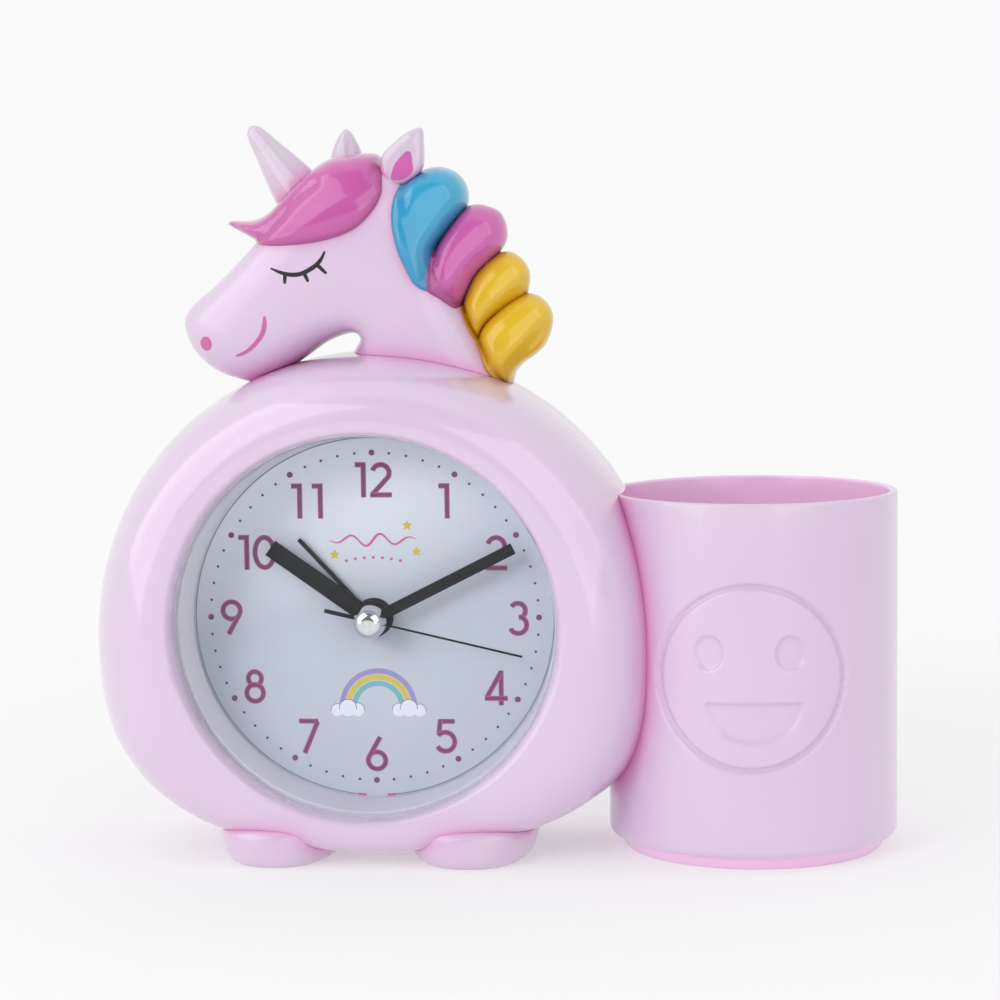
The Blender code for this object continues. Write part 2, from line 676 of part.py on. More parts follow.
def front_shell():
    outline = body_ring(-SEAT_GAP / 2)
    bore = dial_ring_points(outline, LIP_RADIUS, -SEAT_GAP / 2)
    outer = from_rings([outline] + front_rings(0, BODY_FRONT_DEPTH, LIP_RADIUS, -LIP_DEPTH) + [bore], True)

    wall_radius = REBATE_RADIUS + REBATE_WALL
    inner_line = body_ring(CUT_OVERRUN, BODY_WALL)
    inner_bore = dial_ring_points(inner_line, wall_radius, CUT_OVERRUN)
    inner_front = BODY_FRONT_DEPTH - BODY_WALL
    inner_lip = -LIP_DEPTH + BODY_WALL
    rings = front_rings(BODY_WALL, inner_front, wall_radius, inner_lip)
    cavity = from_rings(clear_of_cup([inner_line] + rings) + [inner_bore], True)
    posts = [post(place, FRONT_POST_RADIUS, -BODY_FRONT_DEPTH, 2 * CUT_OVERRUN) for place in SHELL_SCREW_PLACES]
    cavity = cut(cavity, *posts)

    rebate = at_dial(disc(REBATE_RADIUS, -REBATE_DEPTH, CUT_OVERRUN, ROUND_STEPS))
    bores = [post(place, SCREW_SHANK_RADIUS + RUN_GAP, SCREW_SEAT_DEPTH - SCREW_REACH - CUT_OVERRUN, CUT_OVERRUN)
             for place in SHELL_SCREW_PLACES]
    shell = cut(outer, cup_cutter(), cavity, rebate, *bores)
    add("front_shell", largest_piece(shell), PINK, 0.22)


def cup_post(radius, start, length, height):
    """A cylinder that points from the cup's axis into the body at a screw's height."""
    bm = turned(((0, start), (radius, start), (radius, start + length), (0, start + length)), SCREW_STEPS)
    along = Matrix.Rotation(CUP_SCREW_BEARING, 3, 'Z') @ Matrix.Rotation(math.pi / 2, 3, 'Y')
    bmesh.ops.rotate(bm, verts=bm.verts, cent=(0, 0, 0), matrix=along)
    bmesh.ops.translate(bm, verts=bm.verts, vec=(CUP_OFFSET, 0, height))
    return bm


def rear_shell():
    start = body_ring(SEAT_GAP / 2)
    outer = from_rings([start] + rear_rings(0, BODY_REAR_DEPTH))
    inner = [body_ring(-CUT_OVERRUN, BODY_WALL)] + rear_rings(BODY_WALL, BODY_REAR_DEPTH - BODY_WALL)
    cavity = from_rings(clear_of_cup(inner))

    hole_width = CASE_HALF_WIDTH + TUNNEL_GAP
    hole_height = CASE_HALF_HEIGHT + TUNNEL_GAP
    beyond = BODY_REAR_DEPTH + CUT_OVERRUN
    outer_box = rounded_box(hole_width + TUNNEL_WALL, hole_height + TUNNEL_WALL, CASE_CORNER + TUNNEL_WALL)
    tunnel = at_dial(prism(outer_box, -2 * CUT_OVERRUN, beyond))
    lip_front = CASE_REAR_DEPTH + SEAT_GAP
    lip_rear = lip_front + TUNNEL_LIP_THICK
    hole_box = rounded_box(hole_width, hole_height, CASE_CORNER)
    lips = []
    for side in (-1, 1):
        low_x, high_x = sorted((side * (CASE_HALF_WIDTH - TUNNEL_LIP), side * (hole_width + CUT_OVERRUN)))
        tall = hole_height + CUT_OVERRUN
        lips.append(block((low_x, lip_front, -tall), (high_x, lip_rear, tall)))
    hole = at_dial(cut(prism(hole_box, -2 * CUT_OVERRUN, beyond), *lips))

    posts = [post(place, REAR_POST_RADIUS, -2 * CUT_OVERRUN, beyond) for place in SHELL_SCREW_PLACES]
    cup_posts = [cup_post(FRONT_POST_RADIUS, CUP_RADIUS, CUP_POST_LENGTH, z) for z in CUP_SCREW_HEIGHTS]
    cavity = cut(cavity, tunnel, *posts, *cup_posts)

    bore_radius = SCREW_SHANK_RADIUS + RUN_GAP
    head_radius = SCREW_HEAD_RADIUS + SEAT_GAP
    bores = [post(place, bore_radius, -2 * CUT_OVERRUN, beyond) for place in SHELL_SCREW_PLACES]
    sinks = [post(place, head_radius, SCREW_SEAT_DEPTH, beyond) for place in SHELL_SCREW_PLACES]
    cup_bores = [cup_post(bore_radius, CUP_RADIUS, CUP_SCREW_REACH, z) for z in CUP_SCREW_HEIGHTS]
    shell = cut(outer, cup_cutter(), cavity, hole, *bores, *sinks, *cup_bores)
    add("rear_shell", largest_piece(shell), PINK, 0.22)


def screw_profile(reach):
    """Half of a pan-head screw along Z, its head's seat at zero and its tip below."""
    shoulder = SCREW_HEAD_THICK * SCREW_SHOULDER_SHARE
    crown = SCREW_HEAD_RADIUS * SCREW_CROWN_SHARE
    return ((0, -reach), (SCREW_SHANK_RADIUS / 2, -reach), (SCREW_SHANK_RADIUS, SCREW_SHANK_RADIUS - reach),
            (SCREW_SHANK_RADIUS, 0), (SCREW_HEAD_RADIUS, 0), (SCREW_HEAD_RADIUS, shoulder),
            (crown, SCREW_HEAD_THICK), (0, SCREW_HEAD_THICK))


def shell_screws():
    for number, place in enumerate(SHELL_SCREW_PLACES, 1):
        profile = [(radius, SCREW_SEAT_DEPTH + SEAT_GAP + along) for radius, along in screw_profile(SCREW_REACH)]
        bm = at_dial(turned_along_y(profile, SCREW_STEPS, place))
        add(f"shell_screw_{number}", bm, STEEL, 0.3, 1.0, origin=arbor_point(place))


# Pen cup

def face_outline(half_width, half_height, centre, steps):
    """An oval in the XZ plane."""
    turns = [math.tau * step / steps for step in range(steps)]
    return [(centre[0] + half_width * math.cos(turn), centre[1] + half_height * math.sin(turn)) for turn in turns]


def mouth_outline():
    """A half-moon with its flat edge up."""
    top = FACE_HEIGHT - MOUTH_TOP_DROP
    points = []
    for step in range(MOUTH_STEPS + 1):
        turn = math.pi + math.pi * step / MOUTH_STEPS
        points.append((MOUTH_HALF_WIDTH * math.cos(turn), top + MOUTH_DEPTH * math.sin(turn)))
    return points


def engraving():
    """Cutters of the smiling face, sunk from the cup's front by one depth all over."""
    near = -CUP_RADIUS - CUT_OVERRUN
    far = -CUP_RADIUS / 2
    half_groove = FACE_GROOVE_WIDTH / 2
    ring = prism(face_outline(*(2 * [FACE_RING_RADIUS + half_groove]), (0, FACE_HEIGHT), FACE_STEPS), near, far)
    hole = prism(face_outline(*(2 * [FACE_RING_RADIUS - half_groove]), (0, FACE_HEIGHT), FACE_STEPS),
                 near - CUT_OVERRUN, far + CUT_OVERRUN)
    marks = [cut(ring, hole), prism(mouth_outline(), near, far)]
    for side in (-1, 1):
        centre = (side * EYE_OFFSET, FACE_HEIGHT + EYE_RISE)
        marks.append(prism(face_outline(EYE_HALF_WIDTH, EYE_HALF_HEIGHT, centre, EYE_STEPS), near, far))
    radius = CUP_RADIUS - FACE_DEPTH
    core = turned(((0, 0), (radius, 0), (radius, CUP_HEIGHT), (0, CUP_HEIGHT)), CUP_STEPS)
    return [cut(mark, core) for mark in marks]


def pen_cup():
    ring_inner = CUP_RING_RADIUS - CUP_RING_WALL
    underside = CUP_STEP_HEIGHT
    floor = underside + CUP_FLOOR
    inner = CUP_RADIUS - CUP_WALL
    profile = ((0, underside), (ring_inner, underside), (ring_inner, 0), (CUP_RING_RADIUS, 0),
               (CUP_RING_RADIUS, CUP_STEP_HEIGHT), (CUP_RADIUS - CUP_EDGE, CUP_STEP_HEIGHT),
               (CUP_RADIUS, CUP_STEP_HEIGHT + CUP_EDGE), (CUP_RADIUS, CUP_HEIGHT), (inner, CUP_HEIGHT),
               (inner, floor + CUP_EDGE), (inner - CUP_EDGE, floor), (0, floor))
    cup = turned(profile, CUP_STEPS)
    cup = cut(cup, *engraving())
    bmesh.ops.translate(cup, verts=cup.verts, vec=(CUP_OFFSET, 0, 0))
    bore_radius = SCREW_SHANK_RADIUS + RUN_GAP
    bores = [cup_post(bore_radius, inner - CUP_WALL, 3 * CUP_WALL, z) for z in CUP_SCREW_HEIGHTS]
    add("pen_cup", largest_piece(cut(cup, *bores)), PINK, 0.3, origin=(CUP_OFFSET, 0, 0))


def cup_screws():
    seat = (CUP_RADIUS - CUP_WALL) * math.cos(math.pi / CUP_STEPS) - SEAT_GAP
    reach = CUP_RADIUS - seat + CUP_SCREW_REACH - CUP_WALL
    for name, height in zip(("cup_screw_lower", "cup_screw_upper"), CUP_SCREW_HEIGHTS):
        profile = [(radius, -along) for radius, along in screw_profile(reach)]
        bm = turned(profile, SCREW_STEPS)
        along = Matrix.Rotation(CUP_SCREW_BEARING, 3, 'Z') @ Matrix.Rotation(math.pi / 2, 3, 'Y')
        bmesh.ops.rotate(bm, verts=bm.verts, cent=(0, 0, 0), matrix=along)
        place = (CUP_OFFSET + seat * math.cos(CUP_SCREW_BEARING), seat * math.sin(CUP_SCREW_BEARING), height)
        bmesh.ops.translate(bm, verts=bm.verts, vec=place)
        add(name, bm, STEEL, 0.3, 1.0, origin=place)


# Feet

def feet(body):
    for name, side in (("foot_left", -1), ("foot_right", 1)):
        rings = []
        for up_share, inset_share in FOOT_LEVEL_SHARES:
            inset = FOOT_HALF_WIDTH * inset_share
            ring = []
            for step in range(FOOT_STEPS):
                turn = math.tau * step / FOOT_STEPS
                across, along = math.cos(turn), math.sin(turn)
                reach = (abs(across) ** FOOT_POWER + abs(along) ** FOOT_POWER) ** (-1 / FOOT_POWER)
                x = side * FOOT_OFFSET + (FOOT_HALF_WIDTH - inset) * reach * across
                y = FOOT_LENGTH / 2 - FOOT_FRONT + (FOOT_LENGTH / 2 - inset) * reach * along
                ring.append((x, y, FOOT_HEIGHT * up_share))
            rings.append(ring)
        foot = largest_piece(cut(from_rings(rings), body))
        add(name, foot, PINK, 0.25, origin=(side * FOOT_OFFSET, 0, 0))


# Horse's head: puffed outlines

def head_point(shares):
    """A point of the head's plane, from its shares."""
    return (HEAD_SPAN * shares[0], BODY_TOP_Z + HEAD_SPAN * shares[1])


def smooth_outline(shares, spacing):
    """A closed Catmull-Rom curve through the outline's points, stepped evenly."""
    points = [Vector(head_point(share)) for share in shares]
    count = len(points)
    outline = []
    for i in range(count):
        before, start = points[i - 1], points[i]
        end, after = points[(i + 1) % count], points[(i + 2) % count]
        steps = max(1, round((end - start).length / spacing))
        for step in range(steps):
            t = step / steps
            bend = (2 * before - 5 * start + 4 * end - after) * t ** 2
            twist = (3 * start - before - 3 * end + after) * t ** 3
            outline.append((2 * start + (end - before) * t + bend + twist) / 2)
    return outline


def edge_distance(point, outline):
    """How far a point lies from the outline, or less than zero outside it."""
    best = math.inf
    inside = False
    for i, end in enumerate(outline):
        start = outline[i - 1]
        along = end - start
        t = min(1, max(0, (point - start).dot(along) / along.length_squared))
        best = min(best, (point - start - along * t).length)
        if (start.y > point.y) != (end.y > point.y):
            if point.x < start.x + along.x * (point.y - start.y) / along.y:
                inside = not inside
    return best if inside else -best


def face_points(outline, spacing):
    """Points in a triangle pattern inside the outline."""
    low_x, high_x = min(p.x for p in outline), max(p.x for p in outline)
    low_y, high_y = min(p.y for p in outline), max(p.y for p in outline)
    row_height = spacing * math.sqrt(3) / 2
    points = []
    for row in range(int((high_y - low_y) / row_height) + 1):
        for column in range(int((high_x - low_x) / spacing) + 2):
            point = Vector((low_x + spacing * (column - row % 2 / 2), low_y + row_height * row))
            if edge_distance(point, outline) > spacing / 2:
                points.append(point)
    return points


def puffed_heights(points, triangles, fixed, half_depth):
    """Heights of a skin blown up over a flat outline that is held at its edge.

    The load on a stretched skin is solved over the triangles.  Its square
    root would be a ball over a circle; a cap on it flattens wide places.
    """
    count = len(points)
    stiffness = np.zeros((count, count))
    load = np.zeros(count)
    for triangle in triangles:
        corners = [points[i] for i in triangle]
        area = abs((corners[1] - corners[0]).cross(corners[2] - corners[0])) / 2
        for k in range(3):
            i, j, other = triangle[k], triangle[(k + 1) % 3], corners[(k + 2) % 3]
            weight = (points[i] - other).dot(points[j] - other) / (4 * area)
            stiffness[i, i] += weight
            stiffness[j, j] += weight
            stiffness[i, j] -= weight
            stiffness[j, i] -= weight
            load[i] += 4 * area / 3
    free = [i for i in range(count) if i not in fixed]
    heights = np.zeros(count)
    solved = np.linalg.solve(stiffness[np.ix_(free, free)], load[free])
    ball = np.sqrt(np.maximum(solved, 0))
    heights[free] = ball * half_depth / (ball ** 3 + half_depth ** 3) ** (1 / 3)
    return heights


def flat_triangles(outline, spacing):
    """Points and triangles that fill an outline; its own points come first."""
    edge = list(outline)
    every = edge + face_points(outline, spacing)
    rim = [(i, (i + 1) % len(edge)) for i in range(len(edge))]
    points, _, triangles, _, _, _ = delaunay_2d_cdt(every, rim, [], 1, MERGE)
    return points, triangles, set(range(len(edge)))


def puffed(outline, spacing, half_depth, base=None, centre_y=0.0):
    """A cushion-like solid over an outline, swollen over a base solid where it covers one."""
    points, triangles, fixed = flat_triangles(outline, spacing)
    heights = puffed_heights(points, triangles, fixed, half_depth)
    if base is not None:
        tree = BVHTree.FromBMesh(base)
        for i, point in enumerate(points):
            hit = tree.ray_cast(Vector((point.x, -BODY_HALF_WIDTH, point.y)), Vector((0, 1, 0)))[0]
            under = -hit.y if hit is not None else 0.0
            heights[i] = (heights[i] ** LOBE_BLEND_POWER + under ** LOBE_BLEND_POWER) ** (1 / LOBE_BLEND_POWER)
    heights = np.maximum(heights, PUFF_EDGE)
    bm = bmesh.new()
    front = [bm.verts.new((p.x, centre_y - h, p.y)) for p, h in zip(points, heights)]
    rear = [bm.verts.new((p.x, centre_y + h, p.y)) for p, h in zip(points, heights)]
    for a, b, c in triangles:
        bm.faces.new((front[a], front[b], front[c]))
        bm.faces.new((rear[c], rear[b], rear[a]))
    rim = sorted(fixed)
    for i in rim:
        j = rim[(i + 1) % len(rim)]
        bm.faces.new((front[i], front[j], rear[j], rear[i]))
    bmesh.ops.recalc_face_normals(bm, faces=bm.faces)
    return bm


def cone(base_shares, tip_shares, radius, profile_shares, y):
    """A round-tipped cone that stands from one point of the head to another."""
    base = Vector(head_point(base_shares))
    tip = Vector(head_point(tip_shares))
    length = (tip - base).length
    profile = [(0, 0)] + [(radius * out, length * along) for along, out in profile_shares]
    bm = turned(profile, CONE_STEPS)
    lean = math.atan2(tip.x - base.x, tip.y - base.y)
    bmesh.ops.rotate(bm, verts=bm.verts, cent=(0, 0, 0), matrix=Matrix.Rotation(lean, 3, 'Y'))
    bmesh.ops.translate(bm, verts=bm.verts, vec=(base.x, y, base.y))
    return bm


def head_halves(head, body):
    """The head moulded hollow in two halves that meet on the body's parting plane."""
    cavity = grown(head, -HEAD_WALL)
    reach = 2 * HEAD_SPAN
    for name, side in (("head_front", 1), ("head_rear", -1)):
        near, far = sorted((-side * SEAT_GAP / 2, side * reach))
        other_half = block((-reach, near, 0), (reach, far, BODY_TOP_Z + reach))
        half = largest_piece(cut(head, other_half, cavity, body))
        add(name, half, PINK, 0.25, origin=(0, 0, BODY_TOP_Z))


def head_and_mane(body):
    outline = smooth_outline(HEAD_OUTLINE_SHARES, HEAD_EDGE_SPACING)
    head = puffed(outline, HEAD_FACE_SPACING, HEAD_HALF_DEPTH)
    head_halves(head, body)
    taken = [grown(head, SEAT_GAP), body]
    pieces = (("mane_blue", MANE_BLUE_SHARES, LOBE_HALF_DEPTH, BLUE),
              ("mane_magenta", MANE_MAGENTA_SHARES, LOBE_HALF_DEPTH, MAGENTA),
              ("mane_yellow_upper", MANE_YELLOW_UPPER_SHARES, LOBE_HALF_DEPTH, YELLOW),
              ("mane_yellow_lower", MANE_YELLOW_LOWER_SHARES, LOBE_HALF_DEPTH, YELLOW),
              ("forelock", FORELOCK_SHARES, FORELOCK_HALF_DEPTH, MAGENTA))
    for name, shares, half_depth, colour in pieces:
        lobe = puffed(smooth_outline(shares, LOBE_EDGE_SPACING), LOBE_FACE_SPACING, half_depth, head)
        seated = largest_piece(cut(lobe, *taken))
        taken.append(grown(lobe, SEAT_GAP))
        add(name, seated, colour, 0.2, origin=(0, 0, BODY_TOP_Z))
    ear = puffed(smooth_outline(EAR_NEAR_SHARES, EAR_SPACING), EAR_SPACING,
                 EAR_NEAR_HALF_DEPTH, None, -EAR_NEAR_OFFSET)
    add("ear_near", largest_piece(cut(ear, *taken)), PALE_PINK, 0.25, origin=(0, 0, BODY_TOP_Z))
    far_ear = cone(EAR_FAR_BASE_SHARES, EAR_FAR_TIP_SHARES, EAR_FAR_RADIUS, EAR_PROFILE_SHARES, EAR_FAR_OFFSET)
    add("ear_far", largest_piece(cut(far_ear, *taken)), PALE_PINK, 0.25, origin=(0, 0, BODY_TOP_Z))
    horn = cone(HORN_BASE_SHARES, HORN_TIP_SHARES, HORN_RADIUS, HORN_PROFILE_SHARES, 0)
    add("horn", largest_piece(cut(horn, *taken)), PALE_PINK, 0.25, origin=(0, 0, BODY_TOP_Z))


# Dial side

def dial_side():
    lens_front = -REBATE_DEPTH + SEAT_GAP
    lens_rear = lens_front + LENS_THICK
    radius = REBATE_RADIUS - SEAT_GAP
    lens = at_dial(disc(radius, lens_front, lens_rear, ROUND_STEPS))
    add("lens", lens, CLEAR, 0.03, origin=arbor_point())
    ring_front = lens_rear + SEAT_GAP
    ring_rear = -DIAL_FACE_DEPTH - SEAT_GAP
    profile = ((RING_FRONT_RADIUS, ring_front), (radius, ring_front), (radius, ring_front + RING_FLANGE),
               (RING_FRONT_RADIUS + RING_WALL, ring_front + RING_FLANGE),
               (RING_DIAL_RADIUS + RING_WALL, ring_rear), (RING_DIAL_RADIUS, ring_rear))
    add("dial_ring", at_dial(turned_along_y(profile, ROUND_STEPS)), DIAL_GREY, 0.4, origin=arbor_point())
    dial = tube(CASE_NECK_RADIUS + SEAT_GAP, radius, -DIAL_FACE_DEPTH, -DIAL_FACE_DEPTH + DIAL_THICK, ROUND_STEPS)
    add("dial", at_dial(dial), DIAL_GREY, 0.5, origin=arbor_point())


def hand_blade(outline, depth, thick, boss_radius, bore_radius):
    """A flat hand along +Z with a round boss and a bore for its pipe."""
    boss = disc(boss_radius, -depth, thick - depth)
    blade = prism(outline, -depth, thick - depth)
    bore = disc(bore_radius, -depth - CUT_OVERRUN, thick - depth + CUT_OVERRUN)
    return cut(join(blade, boss), bore)


def straight_hand(length, width):
    """A parallel hand with a squared end."""
    half = width / 2
    return ((-half, 0), (-half, length), (half, length), (half, 0))


def second_outline():
    """A needle with a broader tail."""
    half, tail = SECOND_HAND_WIDTH / 2, SECOND_TAIL_WIDTH / 2
    return ((-half, 0), (-half, SECOND_HAND_LENGTH), (half, SECOND_HAND_LENGTH), (half, 0),
            (tail, -half), (tail, -SECOND_TAIL_LENGTH), (-tail, -SECOND_TAIL_LENGTH), (-tail, -half))


def hands():
    rows = (("alarm_hand", straight_hand(ALARM_HAND_LENGTH, ALARM_HAND_WIDTH), ALARM_HAND_DEPTH,
             HAND_THICK, HAND_BOSS_RADIUS, ALARM_TUBE_RADII[1], ALARM_HAND_ANGLE),
            ("hour_hand", straight_hand(HOUR_HAND_LENGTH, HOUR_HAND_WIDTH), HOUR_HAND_DEPTH,
             HAND_THICK, HAND_BOSS_RADIUS, HOUR_PIPE_RADII[1], HOUR_HAND_ANGLE),
            ("minute_hand", straight_hand(MINUTE_HAND_LENGTH, MINUTE_HAND_WIDTH), MINUTE_HAND_DEPTH,
             HAND_THICK, MINUTE_BOSS_RADIUS, CENTRE_PIPE_RADII[1], MINUTE_HAND_ANGLE),
            ("second_hand", second_outline(), SECOND_HAND_DEPTH,
             SECOND_HAND_THICK, SECOND_BOSS_RADIUS, SECOND_ARBOR_RADIUS, SECOND_HAND_ANGLE))
    for name, outline, depth, thick, boss_radius, pipe_radius, angle in rows:
        hand = at_dial(hand_blade(outline, depth, thick, boss_radius, pipe_radius + FIT_GAP))
        add(name, hand, BLACK, 0.35, origin=arbor_point(), turn=angle)
    rear = -SECOND_HAND_DEPTH - SEAT_GAP
    bore = rear - CAP_BORE_DEPTH
    profile = [(0, bore), (SECOND_ARBOR_RADIUS + FIT_GAP, bore), (SECOND_ARBOR_RADIUS + FIT_GAP, rear)]
    for step in range(CAP_STEPS):
        turn = math.pi / 2 * step / CAP_STEPS
        profile.append((CAP_RADIUS * math.cos(turn), rear - CAP_HEIGHT * math.sin(turn)))
    profile.append((0, rear - CAP_HEIGHT))
    add("hub_cap", at_dial(turned_along_y(profile, PIPE_STEPS)), STEEL, 0.05, 1.0, origin=arbor_point())


# Movement

def movement_front():
    outline = rounded_box(CASE_HALF_WIDTH, CASE_HALF_HEIGHT, CASE_CORNER)
    split = CASE_SPLIT_DEPTH - SEAT_GAP / 2
    case = prism(outline, CASE_FRONT, split)
    neck = disc(CASE_NECK_RADIUS, -DIAL_FACE_DEPTH - CASE_NECK_REACH, CASE_FRONT_INNER)
    room_x = CASE_HALF_WIDTH - CASE_WALL
    room_top = CASE_HALF_HEIGHT - CASE_WALL
    beyond = split + CUT_OVERRUN
    gear_room = block((-room_x, CASE_FRONT_INNER, RIB_TOP), (room_x, beyond, room_top))
    post_rear = PLATE_LAYER - SEAT_GAP
    posts = [disc(CASE_POST_RADIUS, CASE_FRONT, post_rear, ARBOR_STEPS, place) for place in plate_posts()]
    gear_room = cut(gear_room, *posts)
    battery_low = BATTERY_Z - BATTERY_RADIUS - BATTERY_GAP
    battery_room = block((-room_x, CASE_FRONT_INNER, battery_low), (room_x, beyond, RIB_TOP - CASE_RIB))
    bush = disc(CASE_BUSH_RADIUS, -DIAL_FACE_DEPTH - CASE_NECK_REACH - CUT_OVERRUN, CASE_FRONT_INNER + CUT_OVERRUN)
    pivot = disc(FINE_ARBOR_RADIUS + FIT_GAP, CASE_FRONT_INNER - PIVOT_DEPTH - FIT_GAP,
                 CASE_FRONT_INNER + CUT_OVERRUN, ARBOR_STEPS, MINUTE_PLACE)
    alarm_pivot = disc(FINE_ARBOR_RADIUS + FIT_GAP, CASE_FRONT_INNER - PIVOT_DEPTH - FIT_GAP,
                       CASE_FRONT_INNER + CUT_OVERRUN, ARBOR_STEPS, ALARM_PLACE)
    case = cut(join(case, neck), gear_room, battery_room, bush, pivot, alarm_pivot)
    add("movement_case_front", at_dial(largest_piece(case)), CASE_BLACK, 0.5, origin=arbor_point())


def plate_posts():
    """Places of the four posts that carry the middle plate."""
    x = CASE_HALF_WIDTH - CASE_WALL - CASE_POST_INSET
    low = RIB_TOP + CASE_POST_INSET
    high = CASE_HALF_HEIGHT - CASE_WALL - CASE_POST_INSET
    return ((-x, low), (x, low), (-x, high), (x, high))


def movement_rear():
    outline = rounded_box(CASE_HALF_WIDTH, CASE_HALF_HEIGHT, CASE_CORNER)
    split = CASE_SPLIT_DEPTH + SEAT_GAP / 2
    case = prism(outline, split, CASE_REAR_DEPTH)
    ear_x = door_half_width() + RUN_GAP
    ear_half = DOOR_THICK / 2
    ears = []
    for side in (-1, 1):
        low_x, high_x = sorted((side * ear_x, side * (ear_x + DOOR_EAR_WIDTH)))
        ears.append(block((low_x, CASE_REAR_INNER, DOOR_AXIS_Z - ear_half),
                          (high_x, DOOR_AXIS_Y + ear_half, DOOR_AXIS_Z + ear_half)))
    case = join(case, *ears)
    room_x = CASE_HALF_WIDTH - CASE_WALL
    room_top = CASE_HALF_HEIGHT - CASE_WALL
    before = split - CUT_OVERRUN
    gear_room = block((-room_x, before, RIB_TOP), (room_x, CASE_REAR_INNER, room_top))
    battery_low = BATTERY_Z - BATTERY_RADIUS - BATTERY_GAP
    battery_top = RIB_TOP - CASE_RIB
    battery_room = block((-room_x, before, battery_low), (room_x, CASE_REAR_INNER, battery_top))
    opening_x = door_half_width() - DOOR_THICK / 2
    opening = block((-opening_x, CASE_REAR_INNER - CUT_OVERRUN, battery_low),
                    (opening_x, CASE_REAR_DEPTH + CUT_OVERRUN, battery_top))
    tools = [gear_room, battery_room, opening]
    blind = CASE_REAR_INNER + PIVOT_DEPTH + FIT_GAP
    for place, radius in ((ARBOR_PLACE, SECOND_ARBOR_RADIUS), (THIRD_PLACE, FINE_ARBOR_RADIUS),
                          (INTERMEDIATE_PLACE, FINE_ARBOR_RADIUS), (ROTOR_PLACE, FINE_ARBOR_RADIUS)):
        tools.append(disc(radius + FIT_GAP, CASE_REAR_INNER - CUT_OVERRUN, blind, ARBOR_STEPS, place))
    for place in (MINUTE_PLACE, ALARM_PLACE):
        tools.append(disc(KNOB_ARBOR_RADIUS + RUN_GAP, CASE_REAR_INNER - CUT_OVERRUN,
                          CASE_REAR_DEPTH + CUT_OVERRUN, ARBOR_STEPS, place))
    tools.append(switch_slot())
    pin_x = ear_x + DOOR_PIN_LENGTH
    tools.append(pin_along_x(DOOR_PIN_RADIUS + FIT_GAP, pin_x))
    add("movement_case_rear", at_dial(largest_piece(cut(case, *tools))), CASE_BLACK, 0.5, origin=arbor_point())


def switch_slot():
    """The slot that the alarm switch's stem slides in, from rest towards +X."""
    x, z = SWITCH_PLACE
    half_width = SWITCH_STEM_WIDTH / 2 + RUN_GAP
    half_height = SWITCH_STEM_HEIGHT / 2 + RUN_GAP
    return block((x - half_width, CASE_REAR_INNER - CUT_OVERRUN, z - half_height),
                 (x + half_width + SWITCH_TRAVEL, CASE_REAR_DEPTH + CUT_OVERRUN, z + half_height))


def door_half_width():
    """Half the battery door: it covers the battery and its contacts' faces."""
    return BATTERY_LENGTH / 2 + BATTERY_NUB_LENGTH / 2 + CONTACT_THICK + DOOR_THICK / 2


def pin_along_x(radius, half_length):
    """A round bar on the door's hinge line, centred on the clock."""
    bm = turned(((0, -half_length), (radius, -half_length), (radius, half_length), (0, half_length)),
                DOOR_BARREL_STEPS)
    bmesh.ops.rotate(bm, verts=bm.verts, cent=(0, 0, 0), matrix=Matrix.Rotation(math.pi / 2, 3, 'Y'))
    bmesh.ops.translate(bm, verts=bm.verts, vec=(0, DOOR_AXIS_Y, DOOR_AXIS_Z))
    return bm


def battery_door():
    half_width = door_half_width()
    half_thick = DOOR_THICK / 2
    top = RIB_TOP - CASE_RIB + half_thick
    plate = block((-half_width, DOOR_AXIS_Y - half_thick, DOOR_AXIS_Z), (half_width, DOOR_AXIS_Y + half_thick, top))
    barrel = pin_along_x(half_thick, half_width - FIT_GAP)
    pins = pin_along_x(DOOR_PIN_RADIUS, half_width + RUN_GAP + DOOR_PIN_LENGTH - FIT_GAP)
    door = join(plate, barrel, pins)
    add("battery_door", at_dial(door), CASE_BLACK, 0.5, origin=(0, DOOR_AXIS_Y, DIAL_Z + DOOR_AXIS_Z))


def alarm_switch():
    x, z = SWITCH_PLACE
    half_width, half_height = SWITCH_STEM_WIDTH / 2, SWITCH_STEM_HEIGHT / 2
    cap_front = CASE_REAR_DEPTH + SEAT_GAP
    tab_rear = CASE_REAR_INNER - SEAT_GAP
    stem = block((x - half_width, tab_rear - SWITCH_TAB_THICK / 2, z - half_height),
                 (x + half_width, cap_front + SWITCH_CAP_THICK / 2, z + half_height))
    half_cap_x, half_cap_z = SWITCH_CAP_WIDTH / 2, SWITCH_CAP_HEIGHT / 2
    cap = block((x - half_cap_x, cap_front, z - half_cap_z),
                (x + half_cap_x, cap_front + SWITCH_CAP_THICK, z + half_cap_z))
    tab = block((x - half_cap_x, tab_rear - SWITCH_TAB_THICK, z - half_height),
                (x + half_cap_x, tab_rear, z + half_height + SEAT_GAP))
    add("alarm_switch", at_dial(join(stem, cap, tab)), SWITCH_PINK, 0.4, origin=arbor_point(SWITCH_PLACE))


